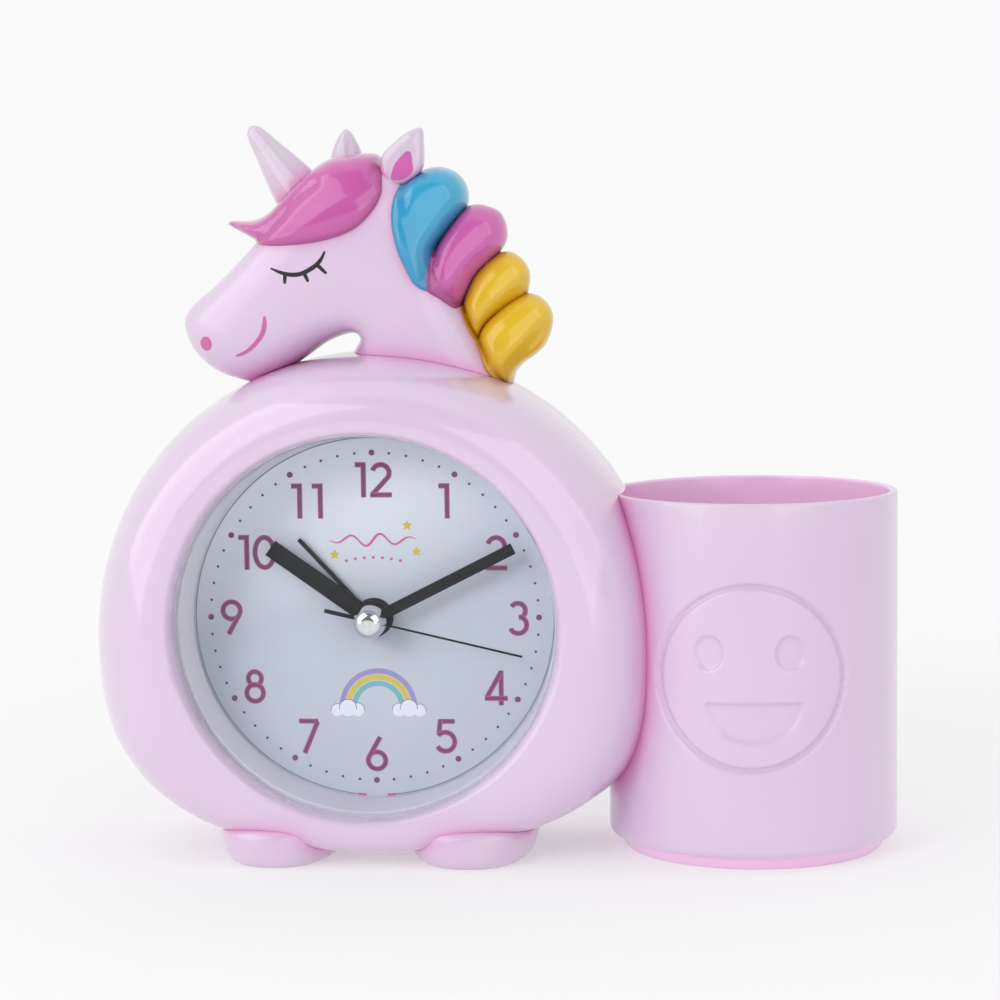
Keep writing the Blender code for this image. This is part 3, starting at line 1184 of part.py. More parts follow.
def middle_plate():
    x = CASE_HALF_WIDTH - CASE_WALL - SEAT_GAP
    low, high = RIB_TOP + SEAT_GAP, CASE_HALF_HEIGHT - CASE_WALL - SEAT_GAP
    rear = PLATE_LAYER + PLATE_THICK
    plate = block((-x, PLATE_LAYER, low), (x, rear, high))
    holes = [(ARBOR_PLACE, CENTRE_PIPE_RADII[1] + RUN_GAP), (THIRD_PLACE, FINE_ARBOR_RADIUS + FIT_GAP),
             (INTERMEDIATE_PLACE, FINE_ARBOR_RADIUS + FIT_GAP), (ROTOR_PLACE, FINE_ARBOR_RADIUS + FIT_GAP),
             (MINUTE_PLACE, KNOB_ARBOR_RADIUS + RUN_GAP), (ALARM_PLACE, KNOB_ARBOR_RADIUS + RUN_GAP)]
    tools = [disc(radius, PLATE_LAYER - CUT_OVERRUN, rear + CUT_OVERRUN, PIPE_STEPS, place)
             for place, radius in holes]
    add("middle_plate", at_dial(cut(plate, *tools)), WHITE_NYLON, 0.5, origin=arbor_point())


def mesh_phase(teeth, phase, other_teeth, bearing):
    """The phase that sets another wheel's gap on this wheel's tooth along a bearing."""
    offset = (phase - bearing) * teeth / math.tau % 1
    return bearing + math.pi + (1 / 2 - offset) * math.tau / other_teeth


def wheel(teeth, module, phase, layer, place):
    """One toothed rim in its layer."""
    return toothed(teeth, module, phase, layer, layer + LAYER_THICK, place)


def motion_work():
    """The wheels from the minute hand's pipe to the hour hand's, and the setting knob."""
    cannon = wheel(CANNON_TEETH, MINUTE_MODULE, 0, MINUTE_LAYER, ARBOR_PLACE)
    inner, outer = CENTRE_PIPE_RADII
    pipe_rear = CENTRE_LAYER + LAYER_THICK + RUN_GAP
    pipe = disc(outer, -MINUTE_HAND_DEPTH, pipe_rear)
    bore = disc(inner, -MINUTE_HAND_DEPTH - CUT_OVERRUN, pipe_rear + CUT_OVERRUN)
    add("centre_pipe", at_dial(cut(join(cannon, pipe), bore)), BRASS, 0.3, 1.0, origin=arbor_point())

    minute_phase = mesh_phase(CANNON_TEETH, 0, MINUTE_TEETH, MINUTE_BEARING)
    rim = wheel(MINUTE_TEETH, MINUTE_MODULE, minute_phase, MINUTE_LAYER, MINUTE_PLACE)
    leaves = toothed(HOUR_PINION_TEETH, HOUR_MODULE, 0, HOUR_LAYER, MINUTE_LAYER + LAYER_THICK / 2, MINUTE_PLACE)
    arbor = disc(KNOB_ARBOR_RADIUS, MINUTE_LAYER, knob_arbor_end(), ARBOR_STEPS, MINUTE_PLACE)
    pivot = disc(FINE_ARBOR_RADIUS, CASE_FRONT_INNER - PIVOT_DEPTH, MINUTE_LAYER + LAYER_THICK / 2,
                 ARBOR_STEPS, MINUTE_PLACE)
    add("minute_wheel", at_dial(join(rim, leaves, arbor, pivot)), WHITE_NYLON, 0.4, origin=arbor_point(MINUTE_PLACE))

    hour_phase = mesh_phase(HOUR_PINION_TEETH, 0, HOUR_TEETH, MINUTE_BEARING + math.pi)
    rim = wheel(HOUR_TEETH, HOUR_MODULE, hour_phase, HOUR_LAYER, ARBOR_PLACE)
    inner, outer = HOUR_PIPE_RADII
    pipe = disc(outer, -HOUR_HAND_DEPTH, HOUR_LAYER + LAYER_THICK)
    bore = disc(inner, -HOUR_HAND_DEPTH - CUT_OVERRUN, HOUR_LAYER + LAYER_THICK + CUT_OVERRUN)
    add("hour_wheel", at_dial(cut(join(rim, pipe), bore)), WHITE_NYLON, 0.4, origin=arbor_point())


def alarm_work():
    """The alarm hand's wheel and tube, and the pinion on the alarm knob's arbor."""
    rim = wheel(ALARM_TEETH, ALARM_MODULE, 0, ALARM_LAYER, ARBOR_PLACE)
    inner, outer = ALARM_TUBE_RADII
    pipe = disc(outer, -ALARM_HAND_DEPTH, ALARM_LAYER + LAYER_THICK)
    bore = disc(inner, -ALARM_HAND_DEPTH - CUT_OVERRUN, ALARM_LAYER + LAYER_THICK + CUT_OVERRUN)
    add("alarm_wheel", at_dial(cut(join(rim, pipe), bore)), WHITE_NYLON, 0.4, origin=arbor_point())
    phase = mesh_phase(ALARM_TEETH, 0, ALARM_PINION_TEETH, ALARM_BEARING)
    leaves = wheel(ALARM_PINION_TEETH, ALARM_MODULE, phase, ALARM_LAYER, ALARM_PLACE)
    arbor = disc(KNOB_ARBOR_RADIUS, ALARM_LAYER + LAYER_THICK / 2, knob_arbor_end(), ARBOR_STEPS, ALARM_PLACE)
    pivot = disc(FINE_ARBOR_RADIUS, CASE_FRONT_INNER - PIVOT_DEPTH, ALARM_LAYER + LAYER_THICK / 2,
                 ARBOR_STEPS, ALARM_PLACE)
    add("alarm_pinion", at_dial(join(leaves, arbor, pivot)), WHITE_NYLON, 0.4, origin=arbor_point(ALARM_PLACE))


def knob_arbor_end():
    """How far back the knobs' arbors reach, inside their blind bores."""
    return CASE_REAR_DEPTH + KNOB_LIFT + KNOB_BORE_DEPTH - FIT_GAP


def knobs():
    front = CASE_REAR_DEPTH + KNOB_LIFT
    rear = front + KNOB_LENGTH
    for name, place in (("set_knob", MINUTE_PLACE), ("alarm_knob", ALARM_PLACE)):
        outline = []
        for flute in range(KNOB_FLUTES):
            bearing = math.tau * flute / KNOB_FLUTES
            outline.append(polar(KNOB_RADIUS, bearing, place))
            outline.append(polar(KNOB_RADIUS - KNOB_GROOVE, bearing + math.pi / KNOB_FLUTES, place))
        knob = prism(outline, front, rear)
        bore = disc(KNOB_ARBOR_RADIUS + FIT_GAP, front - CUT_OVERRUN, front + KNOB_BORE_DEPTH, ARBOR_STEPS, place)
        add(name, at_dial(cut(knob, bore)), CASE_BLACK, 0.45, origin=arbor_point(place))


def going_train():
    """From the motor's rotor to the second hand's arbor and on to the centre wheel."""
    arbor_rear = CASE_REAR_INNER + PIVOT_DEPTH
    arbor_front = PLATE_LAYER + PIVOT_DEPTH / 2
    second_phase = 0.0
    rim = wheel(SECOND_TEETH, SECOND_MODULE, second_phase, SECOND_LAYER, ARBOR_PLACE)
    leaves = toothed(LEAF_COUNT, THIRD_MODULE, 0, THIRD_LAYER, SECOND_LAYER + LAYER_THICK / 2, ARBOR_PLACE)
    arbor_tip = -SECOND_HAND_DEPTH - SEAT_GAP - CAP_BORE_DEPTH + FIT_GAP
    arbor = disc(SECOND_ARBOR_RADIUS, arbor_tip, arbor_rear, ARBOR_STEPS)
    add("second_wheel", at_dial(join(rim, leaves, arbor)), WHITE_NYLON, 0.4, origin=arbor_point())

    third_phase = mesh_phase(LEAF_COUNT, 0, THIRD_TEETH, THIRD_BEARING)
    rim = wheel(THIRD_TEETH, THIRD_MODULE, third_phase, THIRD_LAYER, THIRD_PLACE)
    leaves = toothed(LEAF_COUNT, CENTRE_MODULE, 0, CENTRE_LAYER, THIRD_LAYER + LAYER_THICK / 2, THIRD_PLACE)
    arbor = disc(FINE_ARBOR_RADIUS, arbor_front, arbor_rear, ARBOR_STEPS, THIRD_PLACE)
    add("third_wheel", at_dial(join(rim, leaves, arbor)), WHITE_NYLON, 0.4, origin=arbor_point(THIRD_PLACE))

    centre_phase = mesh_phase(LEAF_COUNT, 0, CENTRE_TEETH, THIRD_BEARING + math.pi)
    rim = wheel(CENTRE_TEETH, CENTRE_MODULE, centre_phase, CENTRE_LAYER, ARBOR_PLACE)
    bore = disc(CENTRE_PIPE_RADII[1] + FIT_GAP, CENTRE_LAYER - CUT_OVERRUN, THIRD_LAYER)
    add("centre_wheel", at_dial(cut(rim, bore)), WHITE_NYLON, 0.4, origin=arbor_point())

    leaf_phase = mesh_phase(SECOND_TEETH, second_phase, LEAF_COUNT, INTERMEDIATE_BEARING)
    rim = wheel(INTERMEDIATE_TEETH, INTERMEDIATE_MODULE, 0, INTERMEDIATE_LAYER, INTERMEDIATE_PLACE)
    leaves = toothed(LEAF_COUNT, SECOND_MODULE, leaf_phase, SECOND_LAYER,
                     INTERMEDIATE_LAYER + LAYER_THICK / 2, INTERMEDIATE_PLACE)
    arbor = disc(FINE_ARBOR_RADIUS, arbor_front, arbor_rear, ARBOR_STEPS, INTERMEDIATE_PLACE)
    add("intermediate_wheel", at_dial(join(rim, leaves, arbor)), WHITE_NYLON, 0.4,
        origin=arbor_point(INTERMEDIATE_PLACE))

    rotor_phase = mesh_phase(INTERMEDIATE_TEETH, 0, LEAF_COUNT, INTERMEDIATE_BEARING)
    leaves = toothed(LEAF_COUNT, INTERMEDIATE_MODULE, rotor_phase, INTERMEDIATE_LAYER, MAGNET_LAYER + LAYER_THICK,
                     ROTOR_PLACE)
    magnet = disc(MAGNET_RADIUS, MAGNET_LAYER, MAGNET_LAYER + MAGNET_THICK, PIPE_STEPS, ROTOR_PLACE)
    arbor = disc(FINE_ARBOR_RADIUS, arbor_front, arbor_rear, ARBOR_STEPS, ROTOR_PLACE)
    add("rotor", at_dial(join(magnet, leaves, arbor)), FERRITE, 0.4, origin=arbor_point(ROTOR_PLACE))


def drive():
    """The motor's stator and coil, the circuit board and the buzzer."""
    x, z = ROTOR_PLACE
    half = STATOR_WIDTH / 2
    coil_end = COIL_START + COIL_LENGTH
    arm_low = COIL_RISE - STATOR_HALF_NECK
    outline = ((x - half, z - half), (x + half, z - half), (x + half, COIL_RISE + STATOR_HALF_NECK),
               (coil_end + SEAT_GAP, COIL_RISE + STATOR_HALF_NECK), (coil_end + SEAT_GAP, arm_low),
               (x - half, z + half))
    stator = prism(outline, STATOR_LAYER, STATOR_LAYER + STATOR_THICK)
    hole = disc(MAGNET_RADIUS + SEAT_GAP, STATOR_LAYER - CUT_OVERRUN, STATOR_LAYER + STATOR_THICK + CUT_OVERRUN,
                PIPE_STEPS, ROTOR_PLACE)
    add("stator", at_dial(cut(stator, hole)), STEEL, 0.35, 1.0, origin=arbor_point(ROTOR_PLACE))

    wound = COIL_RADIUS - COIL_FLANGE
    profile = ((0, 0), (COIL_RADIUS, 0), (COIL_RADIUS, COIL_FLANGE), (wound, COIL_FLANGE),
               (wound, COIL_LENGTH - COIL_FLANGE), (COIL_RADIUS, COIL_LENGTH - COIL_FLANGE),
               (COIL_RADIUS, COIL_LENGTH), (0, COIL_LENGTH))
    coil = turned(profile, PIPE_STEPS)
    bmesh.ops.rotate(coil, verts=coil.verts, cent=(0, 0, 0), matrix=Matrix.Rotation(math.pi / 2, 3, 'Y'))
    coil_y = CASE_REAR_INNER - SEAT_GAP - COIL_RADIUS
    bmesh.ops.translate(coil, verts=coil.verts, vec=(COIL_START, coil_y, COIL_RISE))
    add("coil", at_dial(coil), COPPER, 0.35, origin=arbor_point((COIL_START, COIL_RISE)))

    wall = CASE_HALF_WIDTH - CASE_WALL - SEAT_GAP
    rear = CASE_REAR_INNER - SEAT_GAP
    board = block((-wall, rear - BOARD_THICK, BOARD_LOW), (BOARD_WIDTH - wall, rear, BOARD_HIGH))
    window = SWITCH_TRAVEL / 2
    x, z = SWITCH_PLACE
    slot = block((x - SWITCH_CAP_WIDTH / 2 - window, rear - BOARD_THICK - CUT_OVERRUN, BOARD_LOW - CUT_OVERRUN),
                 (BOARD_WIDTH, rear + CUT_OVERRUN, z + SWITCH_CAP_HEIGHT / 2 + window / 2))
    add("circuit_board", at_dial(cut(board, slot)), BOARD_GREEN, 0.4, origin=arbor_point((-wall, 0)))
    buzzer = disc(BUZZER_RADIUS, rear - BUZZER_THICK, rear, PIPE_STEPS, BUZZER_PLACE)
    add("buzzer", at_dial(buzzer), BRASS, 0.3, 1.0, origin=arbor_point(BUZZER_PLACE))


def battery_and_contacts():
    half = BATTERY_LENGTH / 2 + BATTERY_NUB_LENGTH / 2
    shoulder = half - BATTERY_NUB_LENGTH
    profile = ((0, -half), (BATTERY_RADIUS, -half), (BATTERY_RADIUS, shoulder), (BATTERY_NUB_RADIUS, shoulder),
               (BATTERY_NUB_RADIUS, half), (0, half))
    battery = turned(profile, PIPE_STEPS)
    bmesh.ops.rotate(battery, verts=battery.verts, cent=(0, 0, 0), matrix=Matrix.Rotation(math.pi / 2, 3, 'Y'))
    bmesh.ops.translate(battery, verts=battery.verts, vec=(0, BATTERY_DEPTH, BATTERY_Z))
    add("battery", at_dial(battery), BATTERY_GREY, 0.35, 0.6, origin=(0, BATTERY_DEPTH, DIAL_Z + BATTERY_Z))
    wall = CASE_HALF_WIDTH - CASE_WALL - SEAT_GAP
    near = half + SEAT_GAP
    low, high = BATTERY_Z - CONTACT_HEIGHT / 2, BATTERY_Z + CONTACT_HEIGHT / 2
    for name, side in (("contact_negative", -1), ("contact_positive", 1)):
        outline = ((near, low), (wall, low), (wall, high), (wall - CONTACT_THICK, high),
                   (wall - CONTACT_THICK, low + CONTACT_THICK), (near + CONTACT_THICK, low + CONTACT_THICK),
                   (near + CONTACT_THICK, high), (near, high))
        strip = prism([(side * x, z) for x, z in outline], BATTERY_DEPTH - CONTACT_WIDTH / 2,
                      BATTERY_DEPTH + CONTACT_WIDTH / 2)
        add(name, at_dial(strip), STEEL, 0.25, 1.0, origin=arbor_point((side * near, BATTERY_Z)))


def clear_scene():
    for item in list(bpy.data.objects):
        bpy.data.objects.remove(item)


def main():
    clear_scene()
    frame = bpy.data.objects.new("clock_frame", None)
    right = CUP_OFFSET + CUP_RADIUS
    front = max(FOOT_FRONT, BODY_FRONT_DEPTH)
    frame.location = ((BODY_HALF_WIDTH - right) / 2, (front - CUP_RADIUS) / 2, 0)
    bpy.context.scene.collection.objects.link(frame)
    body = body_blob(SEAT_GAP)
    front_shell()
    rear_shell()
    shell_screws()
    pen_cup()
    cup_screws()
    feet(body)
    head_and_mane(body)
    dial_side()
    hands()
    movement_front()
    movement_rear()
    middle_plate()
    motion_work()
    alarm_work()
    knobs()
    going_train()
    drive()
    battery_and_contacts()
    battery_door()
    alarm_switch()


main()
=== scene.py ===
"""Pen holder clock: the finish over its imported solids.

Metres, +Z up, front towards -Y.  Every piece is shaped in the clock frame,
where the table is z = 0, the shells part on y = 0 and x = 0 is the middle of
the body.  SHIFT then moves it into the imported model's frame.
"""

import math

import bmesh
import bpy
import numpy as np
from bpy.props import FloatProperty, FloatVectorProperty, IntProperty, PointerProperty
from mathutils import Matrix, Vector
from mathutils.bvhtree import BVHTree
from mathutils.geometry import delaunay_2d_cdt


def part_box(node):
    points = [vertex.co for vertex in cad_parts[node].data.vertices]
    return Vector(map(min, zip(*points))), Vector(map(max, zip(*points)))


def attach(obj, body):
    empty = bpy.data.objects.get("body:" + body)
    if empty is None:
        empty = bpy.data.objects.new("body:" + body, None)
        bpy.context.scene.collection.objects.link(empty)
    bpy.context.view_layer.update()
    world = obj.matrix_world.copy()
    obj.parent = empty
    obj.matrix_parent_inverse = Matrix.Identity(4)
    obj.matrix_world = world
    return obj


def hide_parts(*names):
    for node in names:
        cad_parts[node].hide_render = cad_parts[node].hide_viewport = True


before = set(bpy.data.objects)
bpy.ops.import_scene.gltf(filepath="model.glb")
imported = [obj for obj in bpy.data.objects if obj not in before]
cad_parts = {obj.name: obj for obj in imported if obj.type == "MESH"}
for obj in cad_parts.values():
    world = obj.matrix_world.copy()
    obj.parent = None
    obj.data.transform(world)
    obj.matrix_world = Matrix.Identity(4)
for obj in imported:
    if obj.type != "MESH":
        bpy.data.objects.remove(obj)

bl_info = {
    "name": "Pen holder clock",
    "version": (1, 0, 0),
    "blender": (4, 5, 0),
    "location": "View3D > Sidebar > Clock",
    "description": "Makes the finished pieces of a pen holder clock over its packed solids",
    "category": "Add Mesh",
}

# Clearances
SEAT_GAP = 0.0003
FINE_GAP = 0.00005
MERGE = 0.000001
BEYOND = 0.001

# Clock body
BODY_HALF_WIDTH = 0.0642
BODY_TOP_RISE = 0.0658
BODY_BOTTOM_DROP = 0.0429
BODY_CENTRE_Z = 0.0447
BODY_TOP_Z = BODY_CENTRE_Z + BODY_TOP_RISE
BODY_TOP_POWER = 2.04
BODY_BOTTOM_POWER = 2.49
BODY_SIDE_POWER = 2.6
BODY_UNDERSIDE_POWER = 4.0
BODY_FRONT_DEPTH = 0.033
BODY_REAR_DEPTH = 0.021
BODY_REAR_ROUND = 0.011
BODY_REAR_POWER = 2.6
BODY_WALL = 0.0022
CROWN_SHARE = 0.9
LEFT_SHARE = 0.05
LEFT_TOP = 0.105
BODY_STEPS = 176
SIDE_STEPS = 14
LIP_STEPS = 8

# Dial opening, lens and dial
DIAL_Z = 0.0523
LIP_RADIUS = 0.0416
LIP_DEPTH = 0.0294
REBATE_RADIUS = 0.0435
REBATE_DEPTH = 0.0273
REBATE_WALL = 0.002
LENS_THICK = 0.0015
RING_WALL = 0.0009
RING_FRONT_RADIUS = 0.041
RING_DIAL_RADIUS = 0.0404
RING_FLANGE = 0.001
DIAL_FACE = -0.012
DIAL_THICK = 0.0008
DIAL_BORE = 0.0043
DOT_RING_RADIUS = 0.03653
EDGE_LINE_RADIUS = 0.0399
FIGURE_HEIGHT = 7.6
STROKE_LIFTS = (0.00003, 0.00005, 0.00007, 0.00009)
CLOSED_STEPS = 36
PRINT_RISE = 0.00005
PRINT_SINK = 0.00004
PAINT_SINK = 0.00012
SHARPEST_BEND = 0.4
ROUND_STEPS = 160

# Shell screws
SCREW_ROWS = ((0.038, -0.0382), (0.0395, 0.0362))
SCREW_SEAT = 0.012
SCREW_HEAD_RADIUS = 0.0027
SCREW_HEAD_THICK = 0.0018
SCREW_SHANK_RADIUS = 0.0011
SCREW_REACH = 0.02
REAR_POST_RADIUS = 0.0046

# Pen cup; its face is measured from the face's middle, the mouth as middle across, half width, top and drop
CUP_RADIUS = 0.032
CUP_OFFSET = 0.08309
CUP_HEIGHT = 0.0793
CUP_WALL = 0.0018
CUP_STEP_HEIGHT = 0.0029
CUP_RING_RADIUS = 0.0298
CUP_RING_WALL = 0.002
CUP_FLOOR = 0.002
CUP_EDGE = 0.0017
CUP_RIM = 0.0006
CUP_STEPS = 288
CUP_GATHER = 0.6
FACE_HEIGHT = 0.04195
FACE_RING_RADIUS = 0.0198
FACE_MARGIN = 0.0015
FACE_EYES = ((-0.009, 0.0054), (0.0085, 0.0054))
FACE_EYE_SIZE = (0.003, 0.0037)
FACE_MOUTH = (0.0008, 0.0104, 0.0054, 0.0086)
FACE_GROOVE_EDGE = 0.0007
FACE_EDGE = 0.0008

# Feet; their levels hold a share of the height and a share of the half width drawn in there
FOOT_OFFSET = 0.0231
FOOT_HALF_WIDTH = 0.0132
FOOT_FRONT = 0.034
FOOT_LENGTH = 0.046
FOOT_HEIGHT = 0.009
FOOT_POWER = 2.4
FOOT_STEPS = 96
FOOT_INWARD = 0.0014
FOOT_LEVELS = ((0, 0.22), (0.07, 0.14), (0.24, 0.07), (0.5, 0.02), (0.74, 0), (0.9, 0.08), (1, 0.28))

# Horse's head, as shares of its height over the body
HEAD_SPAN = 0.05
HEAD_HALF_DEPTH = 0.0145
LOBE_HALF_DEPTH = 0.0105
FORELOCK_HALF_DEPTH = 0.0095
LOBE_BLEND_POWER = 2.5
PUFF_EDGE = 0.0003
SKIN_ROUNDS = 1500
SKIN_REST = 1e-6
LOBE_RISE = 0.0013
LOBE_ROUND = 0.0024
VALLEY_WIDTH = 0.0013
VALLEY_SHARE = 0.2
DRAPE_SLOPE = 0.45
DRAPE_ROUND = 0.004
RIM_STEP = 0.00003
RIM_RINGS = 7
RIM_KEEP = 0.9
FACE_KEEP = 0.45
HEAD_OUTLINE = (
    (-0.864, 0.134), (-0.848, 0.18), (-0.806, 0.226), (-0.736, 0.282), (-0.652, 0.36), (-0.552, 0.462),
    (-0.488, 0.54), (-0.416, 0.635), (-0.34, 0.7), (-0.25, 0.757), (-0.116, 0.81), (0.03, 0.83),
    (0.1, 0.815), (0.16, 0.76), (0.23, 0.65), (0.27, 0.51), (0.32, 0.37), (0.39, 0.21), (0.47, 0.05),
    (0.56, -0.1), (0.6, -0.2), (0.54, -0.3), (0.2, -0.27), (-0.06, -0.2), (-0.11, -0.1), (-0.108, -0.02),
    (-0.082, 0.03), (-0.064, 0.062), (-0.085, 0.08), (-0.14, 0.075), (-0.226, 0.04), (-0.32, -0.025),
    (-0.41, -0.085), (-0.5, -0.125), (-0.564, -0.134), (-0.628, -0.118), (-0.686, -0.1), (-0.754, -0.06),
    (-0.812, -0.002), (-0.85, 0.066))
MANE_BLUE = (
    (0.16, 0.77), (0.224, 0.802), (0.292, 0.812), (0.358, 0.79), (0.402, 0.744), (0.418, 0.688),
    (0.412, 0.634), (0.39, 0.59), (0.336, 0.514), (0.294, 0.448), (0.276, 0.37), (0.268, 0.282),
    (0.242, 0.274), (0.198, 0.304), (0.16, 0.372), (0.124, 0.46), (0.104, 0.56), (0.104, 0.638), (0.124, 0.716))
MANE_MAGENTA = (
    (0.39, 0.625), (0.456, 0.645), (0.51, 0.634), (0.556, 0.61), (0.582, 0.56), (0.588, 0.498), (0.568, 0.45),
    (0.524, 0.398), (0.46, 0.334), (0.42, 0.256), (0.388, 0.196), (0.362, 0.194), (0.308, 0.236),
    (0.25, 0.28), (0.25, 0.37), (0.27, 0.46), (0.31, 0.53))
MANE_YELLOW_UPPER = (
    (0.53, 0.425), (0.598, 0.435), (0.654, 0.4), (0.686, 0.344), (0.682, 0.276), (0.665, 0.242), (0.58, 0.176),
    (0.504, 0.11), (0.464, 0.046), (0.424, 0.09), (0.395, 0.168), (0.385, 0.224), (0.41, 0.31), (0.46, 0.38))
MANE_YELLOW_LOWER = (
    (0.655, 0.25), (0.72, 0.24), (0.764, 0.204), (0.786, 0.154), (0.78, 0.088), (0.752, 0.022),
    (0.706, -0.024), (0.656, -0.058), (0.62, -0.102), (0.604, -0.154), (0.56, -0.142), (0.504, -0.088),
    (0.474, -0.01), (0.452, 0.06), (0.48, 0.13), (0.56, 0.2))
FORELOCK = (
    (-0.662, 0.572), (-0.646, 0.584), (-0.578, 0.582), (-0.522, 0.592), (-0.462, 0.626), (-0.414, 0.676),
    (-0.344, 0.744), (-0.274, 0.806), (-0.192, 0.854), (-0.112, 0.868), (-0.032, 0.876), (0.024, 0.862),
    (0.05, 0.8), (0.06, 0.738), (0.058, 0.694), (0.034, 0.64), (-0.012, 0.584), (-0.068, 0.54),
    (-0.148, 0.508), (-0.25, 0.486), (-0.364, 0.476), (-0.454, 0.476), (-0.516, 0.486), (-0.584, 0.524),
    (-0.644, 0.556))
EAR_NEAR = (
    (0.05, 0.86), (0.1, 0.916), (0.156, 0.96), (0.2, 0.98), (0.228, 0.978), (0.236, 0.936),
    (0.232, 0.81), (0.166, 0.74), (0.09, 0.73), (0.046, 0.77))
EAR_NEAR_HALF_DEPTH = 0.003
EAR_NEAR_Y = -0.006
EAR_FAR = ((-0.14, 0.74), (-0.142, 0.985))
EAR_FAR_RADIUS = 0.004
EAR_FAR_Y = 0.006
EAR_PROFILE = ((0, 1), (0.35, 0.97), (0.62, 0.78), (0.82, 0.5), (0.95, 0.24), (1, 0))
HORN = ((-0.29, 0.64), (-0.556, 0.9998))
HORN_RADIUS = 0.0062
HORN_PROFILE = ((0, 1), (0.25, 0.9), (0.5, 0.7), (0.72, 0.5), (0.88, 0.36), (0.965, 0.22), (1, 0))
HORN_RIDGES = 9
HORN_RIDGE_SHARE = 0.03

# Valleys between the bulges of the hair, in millimetres across and up
BLUE_VALLEY = ((21.6, 142.9), (19.1, 140.6), (16.9, 138.0), (15.0, 134.2), (13.5, 130.4), (12.6, 126.1))
MAGENTA_VALLEY = ((29.7, 133.8), (26.7, 131.9), (23.9, 130.1), (21.7, 127.6), (19.7, 124.4), (18.3, 121.2))
YELLOW_UPPER_VALLEY = ((34.9, 125.3), (32.5, 123.4), (29.1, 120.5), (26.4, 117.2))
YELLOW_LOWER_VALLEY = ((39.4, 117.0), (36.5, 113.8), (33.2, 110.0), (30.5, 106.5))
FORELOCK_VALLEY = ((-33.2, 139.6), (-31.5, 138.6), (-27.8, 137.75), (-23.9, 137.6), (-20.6, 139.4), (-17.7, 142.6),
                   (-14.9, 145.3), (-11.6, 148.0))

# Painted marks on the head, in millimetres across and up
EYE_ARC = ((-21.6, 129.4), (-19.6, 128.55), (-17.4, 128.0), (-15.2, 128.05), (-13.2, 128.85), (-11.3, 130.1),
           (-10.15, 131.5), (-9.45, 133.0))
LASHES = (((-18.35, 128.1), (-18.45, 126.0)), ((-14.06, 128.2), (-13.2, 126.4)), ((-11.2, 130.1), (-9.15, 128.15)))
SMILE = ((-23.2, 118.9), (-23.2, 117.1), (-23.8, 115.0), (-25.2, 113.1), (-27.0, 111.45), (-28.6, 110.6),
         (-30.0, 110.1))
NOSTRIL = (-36.9, 112.8)
NOSTRIL_SIZE = (1.4, 1.6)
EAR_INSIDE = ((4.8, 148.5), (5.4, 151.2), (6.7, 153.0), (8.2, 154.4), (9.2, 154.2), (9.5, 152.2), (9.6, 150.2),
              (8.4, 148.9), (6.7, 148.2))

# Hands: angle from twelve, length, width, front, thickness, boss radius
HAND_ROWS = {
    "alarm": (317, 0.0239, 0.0009, -0.0139, 0.0008, 0.0041),
    "hour": (305.25, 0.0274, 0.0038, -0.0156, 0.0008, 0.0041),
    "minute": (63.2, 0.0352, 0.0025, -0.0173, 0.0008, 0.0034),
    "second": (103.1, 0.0342, 0.00045, -0.0186, 0.0004, 0.0013),
}
SECOND_TAIL_LENGTH = 0.0104
SECOND_TAIL_WIDTH = 0.0009
CAP_RADIUS = 0.00365
CAP_HEIGHT = 0.0046
CAP_STEPS = 24

# Surfaces: clouds, dust and stains to a metre, the size of the dust in its cells, and the depth of fine relief
CLOUD_SCALE = 38.0
DUST_SCALE = 420.0
DUST_SIZE = 0.035
STAIN_SCALE = 160.0
RELIEF_DEPTH = 0.0002

# Stage: the room's light on the pieces; the lamps' names, places, aims, sizes, strengths and whether they only
# show in the pieces; the camera's azimuth, elevation and roll, and its place
ROOM_LIGHT = 0.9
ROOM_SEEN = 0.955
LAMPS = (("key softbox", (-0.6, -0.92, 0.54), (0, 0, 0.05), (0.4, 0.4), 2.8, False),
         ("left reflection", (-0.71, -0.54, 0.54), (-0.02, 0, 0.06), (1.1, 1.15), 5.8, True),
         ("right reflection", (0.6, -0.69, 0.47), (0.02, 0, 0.06), (0.77, 1.15), 3.3, True))
FLOOR_RADIUS = 0.8
FLOOR_FADE = (0.16, 0.4)
CAMERA_TURNS = (5.565, 6.133, 0.696)
CAMERA_PLACE = (0.066905, -0.66952, 0.14934)
CAMERA_FOCUS = 109.28

# Back of the movement
CASE_HALF_WIDTH = 0.03
CASE_HALF_HEIGHT = 0.028
CASE_CORNER = 0.003
CASE_REAR = 0.0095
TUNNEL_WALL = 0.002
TUNNEL_GAP = 0.0004
TUNNEL_LIP = 0.0011
TUNNEL_LIP_THICK = 0.002
KNOB_PLACES = {"set_knob": (-0.010825, 0.00625), "alarm_knob": (0.011269, 0.008804)}
KNOB_RADIUS = 0.0064
KNOB_LIFT = 0.0005
KNOB_LENGTH = 0.0072
KNOB_EDGE = 0.0008
CASE_RELIEF = 0.0002
DOOR_AXIS_Y = 0.0105
DOOR_THICK = 0.0014
DOOR_HALF_WIDTH = 0.02605
SWITCH_PLACE = (-0.0195, -0.0062)

BODY_TURNS = np.arange(BODY_STEPS) * math.tau / BODY_STEPS
SHIFT = Vector(((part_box("lens")[0].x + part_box("lens")[1].x) / 2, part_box("front_shell")[0].y + BODY_FRONT_DEPTH, 0))
SOLIDS = {}


def ink(red, green, blue):
    """A screen colour, 0 to 255, as the linear colour that a shader takes."""
    return tuple(((part / 255 + 0.055) / 1.055) ** 2.4 for part in (red, green, blue))


def colour_property(name, description, colour):
    """A colour that the user may change."""
    return FloatVectorProperty(name=name, description=description, default=colour, size=3, min=0, max=1,
                               subtype='COLOR')


def length_property(name, description, size):
    """A length that the user may change."""
    return FloatProperty(name=name, description=description, default=size, min=0, unit='LENGTH', precision=5)


